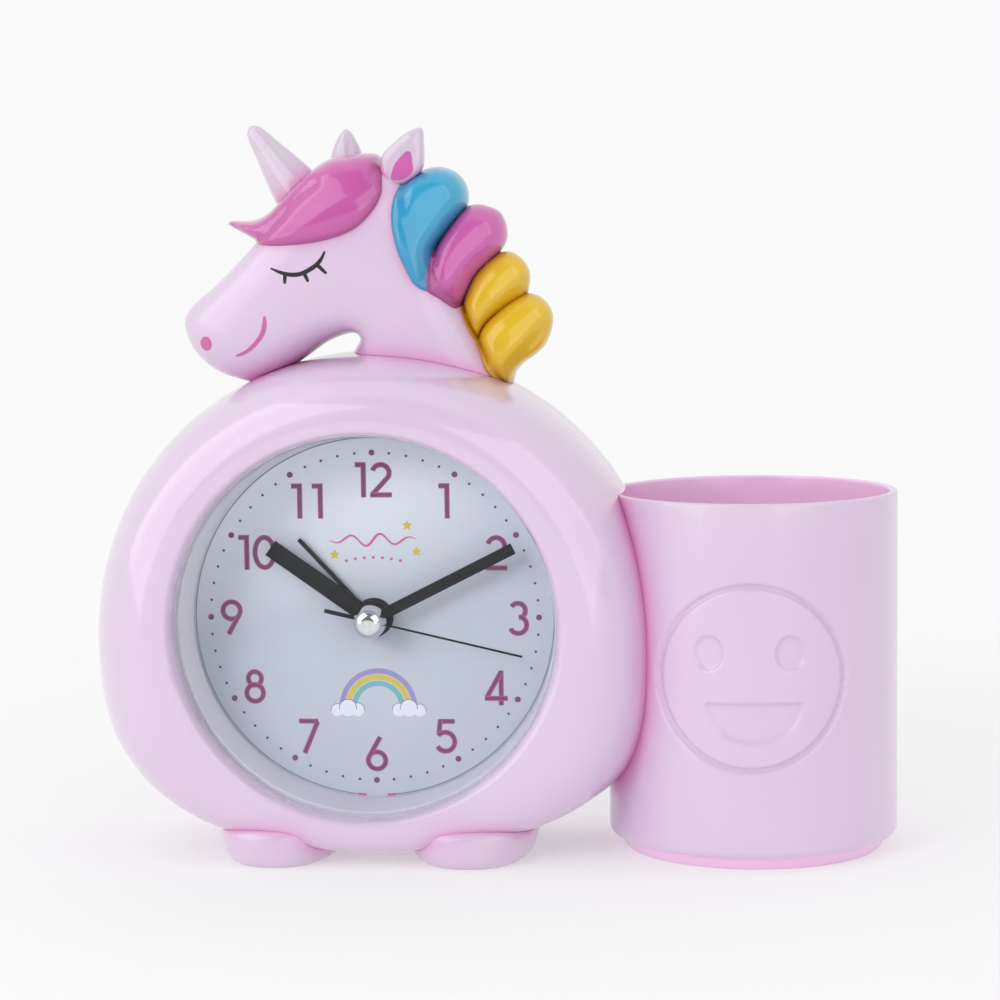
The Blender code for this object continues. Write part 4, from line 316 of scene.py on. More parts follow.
class ClockColours(bpy.types.PropertyGroup):
    """Colours of the clock's plastics and prints, with the painted shade of the joints and the painted light inside
    the cup.
    """
    body: colour_property("Body", "Pink of the shells, the cup, the feet and the head", ink(222, 200, 225))
    # painted shade: a deeper pink where two pink pieces meet, in place of the shade and bounced pink light in their
    # joints
    painted_joint_shade: colour_property("Painted shade at joints", "Deeper pink where two pink pieces meet", ink(232, 138, 202))
    # painted light: a lighter, pinker pink for the cup's shaded inner wall, and a little of it on the foot ring
    painted_light_in_cup: colour_property("Painted light in the cup", "Pink of the cup's inner wall", ink(246, 204, 238))
    horn: colour_property("Horn and ears", "Paler pink of the horn and the ears", ink(214, 198, 217))
    blue: colour_property("Blue hair", "Upper lobe of the mane", ink(46, 166, 208))
    magenta: colour_property("Magenta hair", "Forelock and second lobe of the mane", ink(206, 94, 172))
    yellow: colour_property("Yellow hair", "Lower lobes of the mane", ink(232, 190, 28))
    dial: colour_property("Dial", "Blue-grey of the dial, by its lower edge", ink(191, 197, 208))
    recess: colour_property("Recess wall", "Grey of the wall round the dial", ink(210, 207, 220))
    numeral_edge: colour_property("Numeral edge", "Magenta edge of the printed figures", ink(186, 88, 138))
    numeral_core: colour_property("Numeral core", "Darker middle of the printed figures", ink(112, 58, 98))
    hands: colour_property("Hands", "Near black of the hands", ink(22, 23, 25))
    lashes: colour_property("Lashes", "Paint of the closed eye", ink(34, 30, 36))
    mouth: colour_property("Mouth", "Paint of the mouth and the nostril", ink(205, 106, 162))
    case: colour_property("Case", "Black of the movement's case and knobs", ink(34, 35, 38))


class ClockSizes(bpy.types.PropertyGroup):
    """Sizes of the clock's details."""
    numeral_height: length_property("Numeral height", "Height of the printed figures", 0.00775)
    numeral_stroke: length_property("Numeral stroke", "Width of the figures' strokes", 0.00116)
    hour_dot: length_property("Hour dot", "Radius of the dots at the hours", 0.00066)
    minute_dot: length_property("Minute dot", "Radius of the dots at the minutes", 0.0003)
    engraving_depth: length_property("Engraving depth", "How deep the smiling face lies in the cup", 0.0008)
    groove_width: length_property("Groove width", "Width of the ring round the smiling face", 0.0011)
    hair_valley: length_property("Hair valley", "Depth of the valleys in the hair", 0.0014)
    knob_flutes: IntProperty(name="Knob flutes", description="Ribs round each knob", default=30, min=8, max=60)
    door_ribs: IntProperty(name="Door ribs", description="Grip ribs on the battery door", default=7, min=1, max=20)


# Meshes

def skinned(bm, rows, closed=False):
    """Skin rows of equal count; the ends are capped, or the last row joins the first."""
    pairs = list(zip(rows, rows[1:]))
    if closed:
        pairs.append((rows[-1], rows[0]))
    count = len(rows[0])
    for low, high in pairs:
        for i in range(count):
            j = (i + 1) % count
            bm.faces.new((low[i], low[j], high[j], high[i]))
    if not closed:
        bm.faces.new(rows[0])
        bm.faces.new(rows[-1])
    bmesh.ops.recalc_face_normals(bm, faces=bm.faces)
    return bm


def from_rings(rings, closed=False):
    """A solid skinned over rings of points."""
    bm = bmesh.new()
    return skinned(bm, [[bm.verts.new(point) for point in ring] for ring in rings], closed)


def prism(outline, front, rear):
    """Extrude an outline in the XZ plane along Y."""
    return from_rings([[(x, y, z) for x, z in outline] for y in (front, rear)])


def block(low, high):
    """An upright box between two corners."""
    (x0, y0, z0), (x1, y1, z1) = low, high
    return prism(((x0, z0), (x1, z0), (x1, z1), (x0, z1)), y0, y1)


def oval(centre, half_width, half_height, steps=40, start=0.0, end=360.0):
    """Points of an oval, or of an arc of one; angles run from +X towards +Z."""
    closed = end - start == 360
    turns = np.radians(np.linspace(start, end, steps, endpoint=not closed))
    return np.stack((centre[0] + half_width * np.cos(turns), centre[1] + half_height * np.sin(turns)), 1)


def arc(x, z, radius, steps, start, end):
    """Points of a circle's arc."""
    return oval((x, z), radius, radius, steps, start, end)


def rounded_box(half_width, half_height, corner):
    """The outline of a rectangle with round corners."""
    points = []
    for start, across, up in ((0, 1, 1), (90, -1, 1), (180, -1, -1), (270, 1, -1)):
        points += [*arc(across * (half_width - corner), up * (half_height - corner), corner, 9, start, start + 90)]
    return points


def bevelled(bm, width, segments=3):
    """Round a solid's sharp edges."""
    edges = [edge for edge in bm.edges if edge.is_manifold and edge.calc_face_angle() > math.radians(30)]
    bmesh.ops.bevel(bm, geom=edges, offset=width, segments=segments, profile=0.5, affect='EDGES',
                    clamp_overlap=True)
    return bm


def bar(half_width, front, rear, low, high, edge, segments=3):
    """A block about x = 0 with its edges rounded."""
    return bevelled(block((-half_width, front, low), (half_width, rear, high)), edge, segments)


def moved(bm, x=0.0, y=0.0, z=0.0):
    """Shift a solid."""
    bmesh.ops.translate(bm, verts=bm.verts, vec=(x, y, z))
    return bm


def at_dial(bm):
    """Shift a solid from the origin to the dial's centre."""
    return moved(bm, 0, 0, DIAL_Z)


def spun(bm, angle, axis='Y'):
    """Turn a solid about an axis through the origin."""
    bmesh.ops.rotate(bm, verts=bm.verts, cent=(0, 0, 0), matrix=Matrix.Rotation(angle, 3, axis))
    return bm


def together(*solids):
    """Put several solids in one mesh as they are."""
    result = bmesh.new()
    for bm in solids:
        mesh = bpy.data.meshes.new("part")
        bm.to_mesh(mesh)
        result.from_mesh(mesh)
        bpy.data.meshes.remove(mesh)
        bm.free()
    return result


def temporary(bm):
    """Put a bmesh on an object for the time of one step."""
    mesh = bpy.data.meshes.new("blank")
    bm.to_mesh(mesh)
    item = bpy.data.objects.new("blank", mesh)
    bpy.context.scene.collection.objects.link(item)
    return item


def discard(item):
    """Remove an object and its mesh."""
    mesh = item.data
    bpy.data.objects.remove(item)
    bpy.data.meshes.remove(mesh)


def evaluated(item):
    """The object's mesh with its modifiers in it, as a bmesh."""
    graph = bpy.context.evaluated_depsgraph_get()
    mesh = bpy.data.meshes.new_from_object(item.evaluated_get(graph))
    result = bmesh.new()
    result.from_mesh(mesh)
    bpy.data.meshes.remove(mesh)
    return result


def combine(base, tools, operation):
    """Cut or join solids with exact Booleans."""
    items = [temporary(bm) for bm in [base] + list(tools)]
    for tool in items[1:]:
        change = items[0].modifiers.new("change", 'BOOLEAN')
        change.operation = operation
        change.solver = 'EXACT'
        change.object = tool
    result = evaluated(items[0])
    for item in items:
        discard(item)
    return result


def cut(base, *tools):
    """What is left of a solid once the others are taken from it."""
    return combine(base, tools, 'DIFFERENCE')


def join(base, *others):
    """One solid from several that overlap."""
    return combine(base, others, 'UNION')


def largest_piece(bm):
    """Merge what a cut leaves doubled, and drop the crumbs beside the main piece."""
    bmesh.ops.remove_doubles(bm, verts=bm.verts, dist=MERGE)
    bmesh.ops.dissolve_degenerate(bm, edges=bm.edges, dist=MERGE)
    left = set(bm.verts)
    pieces = []
    while left:
        seed = left.pop()
        group = {seed}
        front = [seed]
        while front:
            for edge in front.pop().link_edges:
                for vert in edge.verts:
                    if vert not in group:
                        group.add(vert)
                        front.append(vert)
        left -= group
        pieces.append(group)
    main = max(pieces, key=len)
    bmesh.ops.delete(bm, geom=[vert for vert in bm.verts if vert not in main], context='VERTS')
    return bm


def grown(bm, amount):
    """A copy of a solid with its skin moved out."""
    copy = bm.copy()
    copy.normal_update()
    for vert, move in [(vert, vert.normal * amount) for vert in copy.verts]:
        vert.co += move
    return copy


def curve_through(points, spacing, closed=False):
    """A Catmull-Rom curve through flat points, stepped evenly."""
    points = [Vector(point) for point in points]
    count = len(points)
    spans = count if closed else count - 1
    line = []
    for i in range(spans):
        start, end = points[i], points[(i + 1) % count]
        before = points[i - 1] if closed or i else start
        after = points[(i + 2) % count] if closed or i + 2 < count else end
        steps = max(1, round((end - start).length / spacing))
        for step in range(steps):
            t = step / steps
            bend = (2 * before - 5 * start + 4 * end - after) * t ** 2
            twist = (3 * start - before - 3 * end + after) * t ** 3
            line.append((2 * start + (end - before) * t + bend + twist) / 2)
    if not closed:
        line.append(points[-1])
    return np.array([tuple(point) for point in line])


def piece(name, bm, body, slot, finish, nodes=(), sharp=35):
    """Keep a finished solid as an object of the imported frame."""
    moved(bm, *SHIFT)
    mesh = bpy.data.meshes.new(name)
    bm.to_mesh(mesh)
    bm.free()
    mesh.shade_smooth()
    mesh.set_sharp_from_angle(angle=math.radians(sharp))
    mesh.materials.clear()
    mesh.materials.append(finish)
    for polygon in mesh.polygons:
        polygon.material_index = 0
    item = bpy.data.objects.new(name, mesh)
    bpy.context.scene.collection.objects.link(item)
    if nodes:
        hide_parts(*nodes)
    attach(item, body)
    return item


# Node trees

def fill(tree, node, inputs):
    """Link or fill a node's inputs."""
    for key, value in inputs.items():
        if isinstance(value, bpy.types.NodeSocket):
            tree.links.new(value, node.inputs[key])
        else:
            node.inputs[key].default_value = value
    return node


def add_node(tree, kind, inputs=None, **settings):
    """Add a node, set its options, and link or fill its inputs."""
    node = tree.nodes.new(kind)
    for key, value in settings.items():
        setattr(node, key, value)
    return fill(tree, node, inputs or {})


def output(tree, kind, inputs=None, **settings):
    """A new node's first output."""
    return add_node(tree, kind, inputs, **settings).outputs[0]


def reckon(tree, operation, first, second=0.0):
    """A Math node's result."""
    return output(tree, "ShaderNodeMath", {0: first, 1: second}, operation=operation)


def split(tree, vector):
    """A vector's three parts."""
    return add_node(tree, "ShaderNodeSeparateXYZ", {0: vector}).outputs


def grey(tree, value):
    """A value as a colour."""
    return output(tree, "ShaderNodeCombineXYZ", {0: value, 1: value, 2: value})


def object_place(tree):
    """Where a point lies on its piece."""
    return add_node(tree, "ShaderNodeTexCoord").outputs["Object"]


def axis_distance(tree, x, y):
    """How far a point lies from the axis."""
    squares = [reckon(tree, 'MULTIPLY', part, part) for part in (x, y)]
    return reckon(tree, 'SQRT', reckon(tree, 'ADD', *squares))


def geometry_tree(name, sockets):
    """A geometry tree with a mesh in and out and named inputs; returns it with its group input."""
    tree = bpy.data.node_groups.new(name, 'GeometryNodeTree')
    tree.interface.new_socket("Geometry", in_out='INPUT', socket_type='NodeSocketGeometry')
    tree.interface.new_socket("Geometry", in_out='OUTPUT', socket_type='NodeSocketGeometry')
    for socket, kind in sockets:
        tree.interface.new_socket(socket, in_out='INPUT', socket_type=kind)
    tree.interface.new_socket("Finish", in_out='INPUT', socket_type='NodeSocketMaterial')
    return tree, tree.nodes.new("NodeGroupInput")


def close_tree(tree, given, geometry):
    """End a geometry tree with plain, merged faces and the finish."""
    real = output(tree, "GeometryNodeRealizeInstances", {0: geometry})
    merged = output(tree, "GeometryNodeMergeByDistance", {"Geometry": real, "Distance": MERGE})
    dressed = output(tree, "GeometryNodeSetMaterial", {"Geometry": merged, "Material": given.outputs["Finish"]})
    add_node(tree, "NodeGroupOutput", {0: dressed})


def close_copies(tree, given, position, more):
    """End a tree with copies of its mesh at a count of points."""
    points = output(tree, "GeometryNodePoints", {"Count": given.outputs["Count"], "Position": position})
    copies = {"Points": points, "Instance": given.outputs["Geometry"], **more}
    close_tree(tree, given, output(tree, "GeometryNodeInstanceOnPoints", copies))
    return tree


def turned_tree():
    """Turn a profile about Z: its points hold the radius in x and the height in z."""
    tree, given = geometry_tree("Turned piece", (("Sides", 'NodeSocketInt'), ("Gather", 'NodeSocketFloat')))
    count = output(tree, "GeometryNodeAttributeDomainSize", {"Geometry": given.outputs["Geometry"]})
    sides = given.outputs["Sides"]
    grid = output(tree, "GeometryNodeMeshGrid", {"Vertices X": reckon(tree, 'ADD', sides, 1.0), "Vertices Y": count})
    index = output(tree, "GeometryNodeInputIndex")
    step = reckon(tree, 'FLOOR', reckon(tree, 'DIVIDE', reckon(tree, 'ADD', index, 0.5), count))
    along = reckon(tree, 'SUBTRACT', index, reckon(tree, 'MULTIPLY', step, count))
    place = output(tree, "GeometryNodeInputPosition")
    point = output(tree, "GeometryNodeSampleIndex",
                   {"Geometry": given.outputs["Geometry"], "Value": place, "Index": along}, data_type='FLOAT_VECTOR')
    radius, _, height = split(tree, point)
    turn = reckon(tree, 'MULTIPLY', reckon(tree, 'DIVIDE', step, sides), math.tau)
    drawn = reckon(tree, 'MULTIPLY', reckon(tree, 'SINE', turn), given.outputs["Gather"])
    turn = reckon(tree, 'SUBTRACT', reckon(tree, 'SUBTRACT', turn, drawn), math.pi / 2)
    x, y = [reckon(tree, 'MULTIPLY', radius, reckon(tree, wave, turn)) for wave in ('COSINE', 'SINE')]
    place = output(tree, "ShaderNodeCombineXYZ", {0: x, 1: y, 2: height})
    close_tree(tree, given, output(tree, "GeometryNodeSetPosition", {"Geometry": grid, "Position": place}))
    return tree


def ring_tree():
    """Set copies of a mesh round the Y axis; every so many may be skipped."""
    tree, given = geometry_tree("Ring of copies", (("Count", 'NodeSocketInt'), ("Radius", 'NodeSocketFloat'),
                                                   ("Skip Every", 'NodeSocketInt')))
    count, radius, skip = [given.outputs[socket] for socket in ("Count", "Radius", "Skip Every")]
    index = output(tree, "GeometryNodeInputIndex")
    turn = reckon(tree, 'MULTIPLY', reckon(tree, 'DIVIDE', index, count), math.tau)
    x, z = [reckon(tree, 'MULTIPLY', reckon(tree, wave, turn), radius) for wave in ('SINE', 'COSINE')]
    kept = reckon(tree, 'GREATER_THAN', reckon(tree, 'FLOORED_MODULO', index, skip), 0.5)
    always = reckon(tree, 'LESS_THAN', skip, 1.5)
    more = {"Selection": reckon(tree, 'MAXIMUM', kept, always),
            "Rotation": output(tree, "ShaderNodeCombineXYZ", {1: turn})}
    return close_copies(tree, given, output(tree, "ShaderNodeCombineXYZ", {0: x, 2: z}), more)


def row_tree():
    """Set copies of a mesh in a straight row."""
    tree, given = geometry_tree("Row of copies", (("Count", 'NodeSocketInt'), ("Start", 'NodeSocketVector'),
                                                  ("Step", 'NodeSocketVector')))
    index = output(tree, "GeometryNodeInputIndex")
    gone = output(tree, "ShaderNodeVectorMath", {0: given.outputs["Step"], "Scale": index}, operation='SCALE')
    place = output(tree, "ShaderNodeVectorMath", {0: gone, 1: given.outputs["Start"]}, operation='ADD')
    return close_copies(tree, given, place, {})


TREES = {"Turned piece": turned_tree, "Ring of copies": ring_tree, "Row of copies": row_tree}


def run_tree(name, bm, finish, **values):
    """Run a geometry tree on a mesh; the result is a plain bmesh."""
    tree = bpy.data.node_groups.get(name) or TREES[name]()
    item = temporary(bm)
    change = item.modifiers.new(name, 'NODES')
    change.node_group = tree
    values = {key.replace("_", " ").title(): value for key, value in values.items()}
    values["Finish"] = finish
    for socket in tree.interface.items_tree:
        if socket.item_type == 'SOCKET' and socket.in_out == 'INPUT' and socket.name in values:
            change[socket.identifier] = values[socket.name]
    result = evaluated(item)
    item.modifiers.remove(change)
    discard(item)
    bm.free()
    return result


def turned(profile, finish, sides=ROUND_STEPS, gather=0.0):
    """Turn (radius, height) points a full circle about Z; a loop of points makes a ring."""
    points = list(profile)
    if min(radius for radius, _ in points) > MERGE:
        points.append(points[0])
    bm = bmesh.new()
    for radius, height in points:
        bm.verts.new((radius, 0, height))
    bm = run_tree("Turned piece", bm, finish, sides=sides, gather=gather)
    bmesh.ops.dissolve_degenerate(bm, edges=bm.edges, dist=MERGE)
    bmesh.ops.recalc_face_normals(bm, faces=bm.faces)
    return bm


def rod(radius, low, high, finish, sides):
    """A plain rod along Z."""
    return turned(((0, low), (radius, low), (radius, high), (0, high)), finish, sides)


def turned_along_y(profile, finish, sides=ROUND_STEPS, place=(0, 0)):
    """Turn (radius, y) points about the line along Y through a place in the XZ plane."""
    bm = turned([(radius, -y) for radius, y in profile], finish, sides)
    return moved(spun(bm, math.pi / 2, 'X'), place[0], 0, place[1])


def disc(radius, front, rear, finish, sides=64, place=(0, 0), edge=0.0):
    """A plain or round-edged disc along Y."""
    side = [(radius, front), (radius, rear)]
    if edge:
        side = [*arc(radius - edge, front + edge, edge, 4, -90, 0), *arc(radius - edge, rear - edge, edge, 4, 0, 90)]
    return turned_along_y([(0, front), *side, (0, rear)], finish, sides, place)


# Shader groups and finishes

def shader_group(name, *inputs):
    """A shader group that puts out a colour, a roughness and a height; returns it with its ends."""
    tree = bpy.data.node_groups.new(name, 'ShaderNodeTree')
    for way, sockets in (('INPUT', inputs), ('OUTPUT', ("Colour", "Roughness", "Height"))):
        for socket in sockets:
            kind = 'NodeSocketColor' if socket.endswith("Colour") else 'NodeSocketFloat'
            tree.interface.new_socket(socket, in_out=way, socket_type=kind)
    return tree, tree.nodes.new("NodeGroupInput"), tree.nodes.new("NodeGroupOutput")


def noise(tree, place, scale, detail=2.0, stretch=None):
    """A noise texture's value, over a stretched place where one is given."""
    if stretch:
        place = output(tree, "ShaderNodeMapping", {"Vector": place, "Scale": stretch})
    return add_node(tree, "ShaderNodeTexNoise", {"Vector": place, "Scale": scale, "Detail": detail}).outputs["Fac"]


def between(tree, value, low, high):
    """Spread a value from 0 to 1 over a range."""
    return output(tree, "ShaderNodeMapRange", {"Value": value, "To Min": low, "To Max": high})


def reaching(tree, value, low, high):
    """0 where a value is at the low end of a range and 1 at its high end."""
    return output(tree, "ShaderNodeMapRange", {"Value": value, "From Min": low, "From Max": high})


def blended(tree, amount, first, second, kind='MIX'):
    """Mix two colours."""
    return add_node(tree, "ShaderNodeMix", {0: amount, 6: first, 7: second}, data_type='RGBA',
                    blend_type=kind).outputs[2]


def moulded_group():
    """Moulded plastic: flow clouds, fine grain, specks of dust, and a second colour mixed in by a share: painted
    shade near joints on the pink and hair plastics, painted light on the dial and recess wall.
    """
    tree, given, out = shader_group("Moulded plastic", "Colour", "Painted Shading Colour", "Painted Shading Share", "Roughness", "Grain Size")
    place = object_place(tree)
    clouds = noise(tree, place, CLOUD_SCALE)
    grain = noise(tree, place, reckon(tree, 'DIVIDE', 1.0, given.outputs["Grain Size"]), 1.0)
    specks = add_node(tree, "ShaderNodeTexVoronoi", {"Vector": place, "Scale": DUST_SCALE})
    dust = reckon(tree, 'LESS_THAN', specks.outputs["Distance"], DUST_SIZE)
    # painted shade near joints, painted light on the dial and recess wall: the second colour mixed in by its share
    shade = blended(tree, given.outputs["Painted Shading Share"], given.outputs["Colour"], given.outputs["Painted Shading Colour"])
    shade = blended(tree, 1.0, shade, grey(tree, between(tree, clouds, 0.955, 1.035)), 'MULTIPLY')
    shade = blended(tree, reckon(tree, 'MULTIPLY', dust, 0.12), shade, (0.9, 0.9, 0.9, 1))
    rough = reckon(tree, 'ADD', given.outputs["Roughness"], between(tree, clouds, -0.04, 0.04))
    rough = reckon(tree, 'ADD', rough, reckon(tree, 'MULTIPLY', dust, 0.25))
    fill(tree, out, {"Colour": shade, "Roughness": rough, "Height": grain})
    return tree


def worn_metal_group():
    """Metal with drawn streaks and small stains."""
    tree, given, out = shader_group("Worn metal", "Colour", "Roughness", "Streak Size")
    place = object_place(tree)
    scale = reckon(tree, 'DIVIDE', 1.0, given.outputs["Streak Size"])
    streaks = noise(tree, place, scale, 3.0, (1.0, 0.15, 0.15))
    stains = noise(tree, place, STAIN_SCALE, 3.0)
    shade = blended(tree, 1.0, given.outputs["Colour"], grey(tree, between(tree, streaks, 0.86, 1.08)), 'MULTIPLY')
    rough = reckon(tree, 'ADD', given.outputs["Roughness"], between(tree, stains, -0.06, 0.1))
    fill(tree, out, {"Colour": shade, "Roughness": rough, "Height": streaks})
    return tree


GROUPS = {"Moulded plastic": moulded_group, "Worn metal": worn_metal_group}


def new_finish(name):
    """An empty material with its Principled shader."""
    material = bpy.data.materials.new(name)
    material.use_nodes = True
    return material, material.node_tree, material.node_tree.nodes["Principled BSDF"]


def surface_from(name, group, values, constants, bump):
    """A material whose colour, roughness and fine relief come from a shared group; made once for each name."""
    found = bpy.data.materials.get(name)
    if found:
        return found
    material, tree, shader = new_finish(name)
    inner = tree.nodes.new("ShaderNodeGroup")
    inner.node_tree = bpy.data.node_groups.get(group) or GROUPS[group]()
    for key, value in values.items():
        if isinstance(value, str):
            value = add_node(tree, "ShaderNodeAttribute", attribute_name=value).outputs["Fac"]
        fill(tree, inner, {key: (*value, 1) if isinstance(value, tuple) else value})
    relief = {"Strength": bump, "Distance": RELIEF_DEPTH, "Height": inner.outputs["Height"]}
    fill(tree, shader, {"Base Color": inner.outputs["Colour"], "Roughness": inner.outputs["Roughness"],
                        "Normal": output(tree, "ShaderNodeBump", relief), **constants})
    return material


def drive(material, socket, value):
    """Let a value drive an input of the material's shared group."""
    tree = material.node_tree
    fill(tree, next(node for node in tree.nodes if node.type == 'GROUP'), {socket: value})
    return material


def let_through(material, shader, share):
    """Mix a material's shader with plain see-through."""
    tree = material.node_tree
    clear = output(tree, "ShaderNodeBsdfTransparent")
    mix = output(tree, "ShaderNodeMixShader", {0: share, 1: shader.outputs[0], 2: clear})
    fill(tree, tree.nodes["Material Output"], {"Surface": mix})
    return material


def plastic(name, colour, deep=None, roughness=0.24, coat=1.0, grain=0.0009, bump=0.03, shine=0.5):
    """Glossy moulded plastic; its deeper colour is painted shade, mixed in where the near attribute says a joint is
    close.
    """
    colour = tuple(colour)
    deep = tuple(deep) if deep else tuple(part * 0.7 for part in colour)
    values = {"Colour": colour, "Painted Shading Colour": deep, "Painted Shading Share": "near", "Roughness": roughness, "Grain Size": grain}
    return surface_from(name, "Moulded plastic", values,
                        {"Coat Weight": coat, "Coat Roughness": 0.03, "IOR": 1.49, "Specular IOR Level": shine},
                        bump)


def metal(name, colour, roughness=0.25, streak=0.0006, bump=0.06):
    """Drawn or stamped metal."""
    values = {"Colour": colour, "Roughness": roughness, "Streak Size": streak}
    return surface_from(name, "Worn metal", values, {"Metallic": 1.0}, bump)


def colours():
    """The colours that the panel shows."""
    return bpy.context.scene.clock_colours


def sizes():
    """The sizes that the panel shows."""
    return bpy.context.scene.clock_sizes


# the body pink, with painted shade, a deeper pink, at its joints
def pink():
    return plastic("Pink plastic", colours().body, colours().painted_joint_shade)


# the head's pink, with painted shade, a deeper pink, at its joints
def head_plastic():
    return plastic("Head plastic", colours().body, colours().painted_joint_shade, 0.3, 0.4)


def black_plastic():
    return plastic("Black plastic", colours().case, (0.004, 0.004, 0.005), 0.42, 0.0, 0.0004, 0.25)


def steel():
    return metal("Nickel-plated steel", (0.62, 0.61, 0.59), 0.24)


# Body shells

def body_ring(y, inset=0.0):
    """The body's outline at a depth, drawn in by an inset, and a little fuller on the right."""
    across, up = np.cos(BODY_TURNS), np.sin(BODY_TURNS)
    half_height = np.where(up > 0, BODY_TOP_RISE, BODY_BOTTOM_DROP) - inset
    power = np.where(up > 0, BODY_TOP_POWER, BODY_BOTTOM_POWER)
    reach = (np.abs(across / (BODY_HALF_WIDTH - inset)) ** power + np.abs(up / half_height) ** power) ** (-1 / power)
    x, z = reach * across, BODY_CENTRE_Z + reach * up
    x = np.where(x < 0, x * (1 - LEFT_SHARE * (1 - z / LEFT_TOP)), x)
    return np.stack((x, np.full(BODY_STEPS, y), z), 1)


def dial_circle(outline, radius, y):
    """Points round the dial's centre, one for each point of the body's outline."""
    bearing = np.arctan2(outline[:, 2] - DIAL_Z, outline[:, 0])
    return np.stack((radius * np.cos(bearing), np.full(len(outline), y), DIAL_Z + radius * np.sin(bearing)), 1)


def quarter_turn(steps):
    """Angles in even steps up to a right angle."""
    return [math.pi / 2 * step / steps for step in range(1, steps + 1)]


def front_rings(inset, depth, inner_radius, inner_y):
    """Rings from the outline over the crown to a circle round the dial."""
    outline = body_ring(0, inset)
    across = dial_circle(outline, inner_radius, inner_y) - outline
    down = np.maximum(0, (BODY_CENTRE_Z - outline[:, 2]) / BODY_BOTTOM_DROP)
    power = BODY_SIDE_POWER + (BODY_UNDERSIDE_POWER - BODY_SIDE_POWER) * down ** 2
    rings = []
    for angle in quarter_turn(SIDE_STEPS):
        level = max(0.0, math.cos(angle)) ** (2 / power)
        ring = outline + across * (CROWN_SHARE * (1 - level))[:, None]
        ring[:, 1] = -depth * math.sin(angle) ** (2 / power)
        rings.append(ring)
    for angle in quarter_turn(LIP_STEPS):
        ring = outline + across * (CROWN_SHARE + (1 - CROWN_SHARE) * math.sin(angle))
        ring[:, 1] = -depth + (depth + inner_y) * (1 - math.cos(angle))
        rings.append(ring)
    return rings


def rear_rings(inset, depth):
    """Rings from the outline round the rear edge to the flat back."""
    rings = []
    for angle in quarter_turn(SIDE_STEPS):
        round_in = BODY_REAR_ROUND * (1 - max(0.0, math.cos(angle)) ** (2 / BODY_REAR_POWER))
        rings.append(body_ring(depth * math.sin(angle) ** (2 / BODY_REAR_POWER), inset + round_in))
    return rings


def body_blob(grow):
    """The whole body as one closed solid, grown by a gap, to cut what sits on it."""
    front = front_rings(-grow, BODY_FRONT_DEPTH + grow, LIP_RADIUS, -LIP_DEPTH)
    return from_rings(list(reversed(front)) + [body_ring(0, -grow)] + rear_rings(-grow, BODY_REAR_DEPTH + grow))


def clear_of_cup(rings):
    """Draw rings of the cavity back behind the wall that faces the cup."""
    radius = CUP_RADIUS + SEAT_GAP + BODY_WALL
    for ring in rings:
        near = (ring[:, 2] < CUP_HEIGHT + SEAT_GAP + BODY_WALL) & (np.abs(ring[:, 1]) < radius)
        wall = CUP_OFFSET - np.sqrt(np.maximum(0, radius ** 2 - ring[:, 1] ** 2))
        ring[:, 0] = np.where(near, np.minimum(ring[:, 0], wall), ring[:, 0])
    return rings


def cup_cutter(finish):
    """The space that the cup takes from the body."""
    return moved(rod(CUP_RADIUS + FINE_GAP, -BEYOND, CUP_HEIGHT + FINE_GAP, finish, 200), CUP_OFFSET)


def make_front_shell():
    finish = pink()
    outline = body_ring(-SEAT_GAP / 2)
    bore = dial_circle(outline, LIP_RADIUS, -REBATE_DEPTH)
    wide = dial_circle(outline, REBATE_RADIUS, -REBATE_DEPTH)
    wide_rear = dial_circle(outline, REBATE_RADIUS, -SEAT_GAP / 2)
    wall_radius = REBATE_RADIUS + REBATE_WALL
    inner_line = body_ring(-SEAT_GAP / 2, BODY_WALL)
    post_rear = dial_circle(inner_line, wall_radius, -SEAT_GAP / 2)
    inside = front_rings(BODY_WALL, BODY_FRONT_DEPTH - BODY_WALL, wall_radius, -LIP_DEPTH + BODY_WALL)
    rings = [outline] + front_rings(0, BODY_FRONT_DEPTH, LIP_RADIUS, -LIP_DEPTH) + [bore, wide, wide_rear, post_rear]
    rings += list(reversed(clear_of_cup([inner_line] + inside)))
    shell = cut(from_rings(rings, True), cup_cutter(finish))
    piece("shell_front", largest_piece(shell), "clock", "pink_plastic", finish, ["front_shell"])


def make_rear_shell():
    finish = pink()
    outer = from_rings([body_ring(SEAT_GAP / 2)] + rear_rings(0, BODY_REAR_DEPTH))
    inner = [body_ring(-BEYOND, BODY_WALL)] + rear_rings(BODY_WALL, BODY_REAR_DEPTH - BODY_WALL)
    cavity = from_rings(clear_of_cup(inner))
    width, height = CASE_HALF_WIDTH + TUNNEL_GAP, CASE_HALF_HEIGHT + TUNNEL_GAP
    beyond = BODY_REAR_DEPTH + BEYOND
    frame_box = rounded_box(width + TUNNEL_WALL, height + TUNNEL_WALL, CASE_CORNER + TUNNEL_WALL)
    tunnel = at_dial(prism(frame_box, -2 * BEYOND, beyond))
    lip = CASE_REAR + SEAT_GAP
    hole = prism(rounded_box(width, height, CASE_CORNER), -2 * BEYOND, beyond)
    lips = []
    for side in (-1, 1):
        low_x, high_x = sorted((side * (CASE_HALF_WIDTH - TUNNEL_LIP), side * (width + BEYOND)))
        lips.append(block((low_x, lip, -height - BEYOND), (high_x, lip + TUNNEL_LIP_THICK, height + BEYOND)))
    hole = at_dial(cut(hole, *lips))
    places = [(side * x, DIAL_Z + z) for x, z in SCREW_ROWS for side in (-1, 1)]
    posts = [disc(REAR_POST_RADIUS, -2 * BEYOND, beyond, finish, 48, place) for place in places]
    cavity = cut(cavity, tunnel, *posts)
    sinks = [disc(SCREW_HEAD_RADIUS + SEAT_GAP, SCREW_SEAT, beyond, finish, 48, place) for place in places]
    shell = cut(outer, cup_cutter(finish), cavity, hole, *sinks)
    piece("shell_rear", largest_piece(shell), "clock", "pink_plastic", finish, ["rear_shell"])


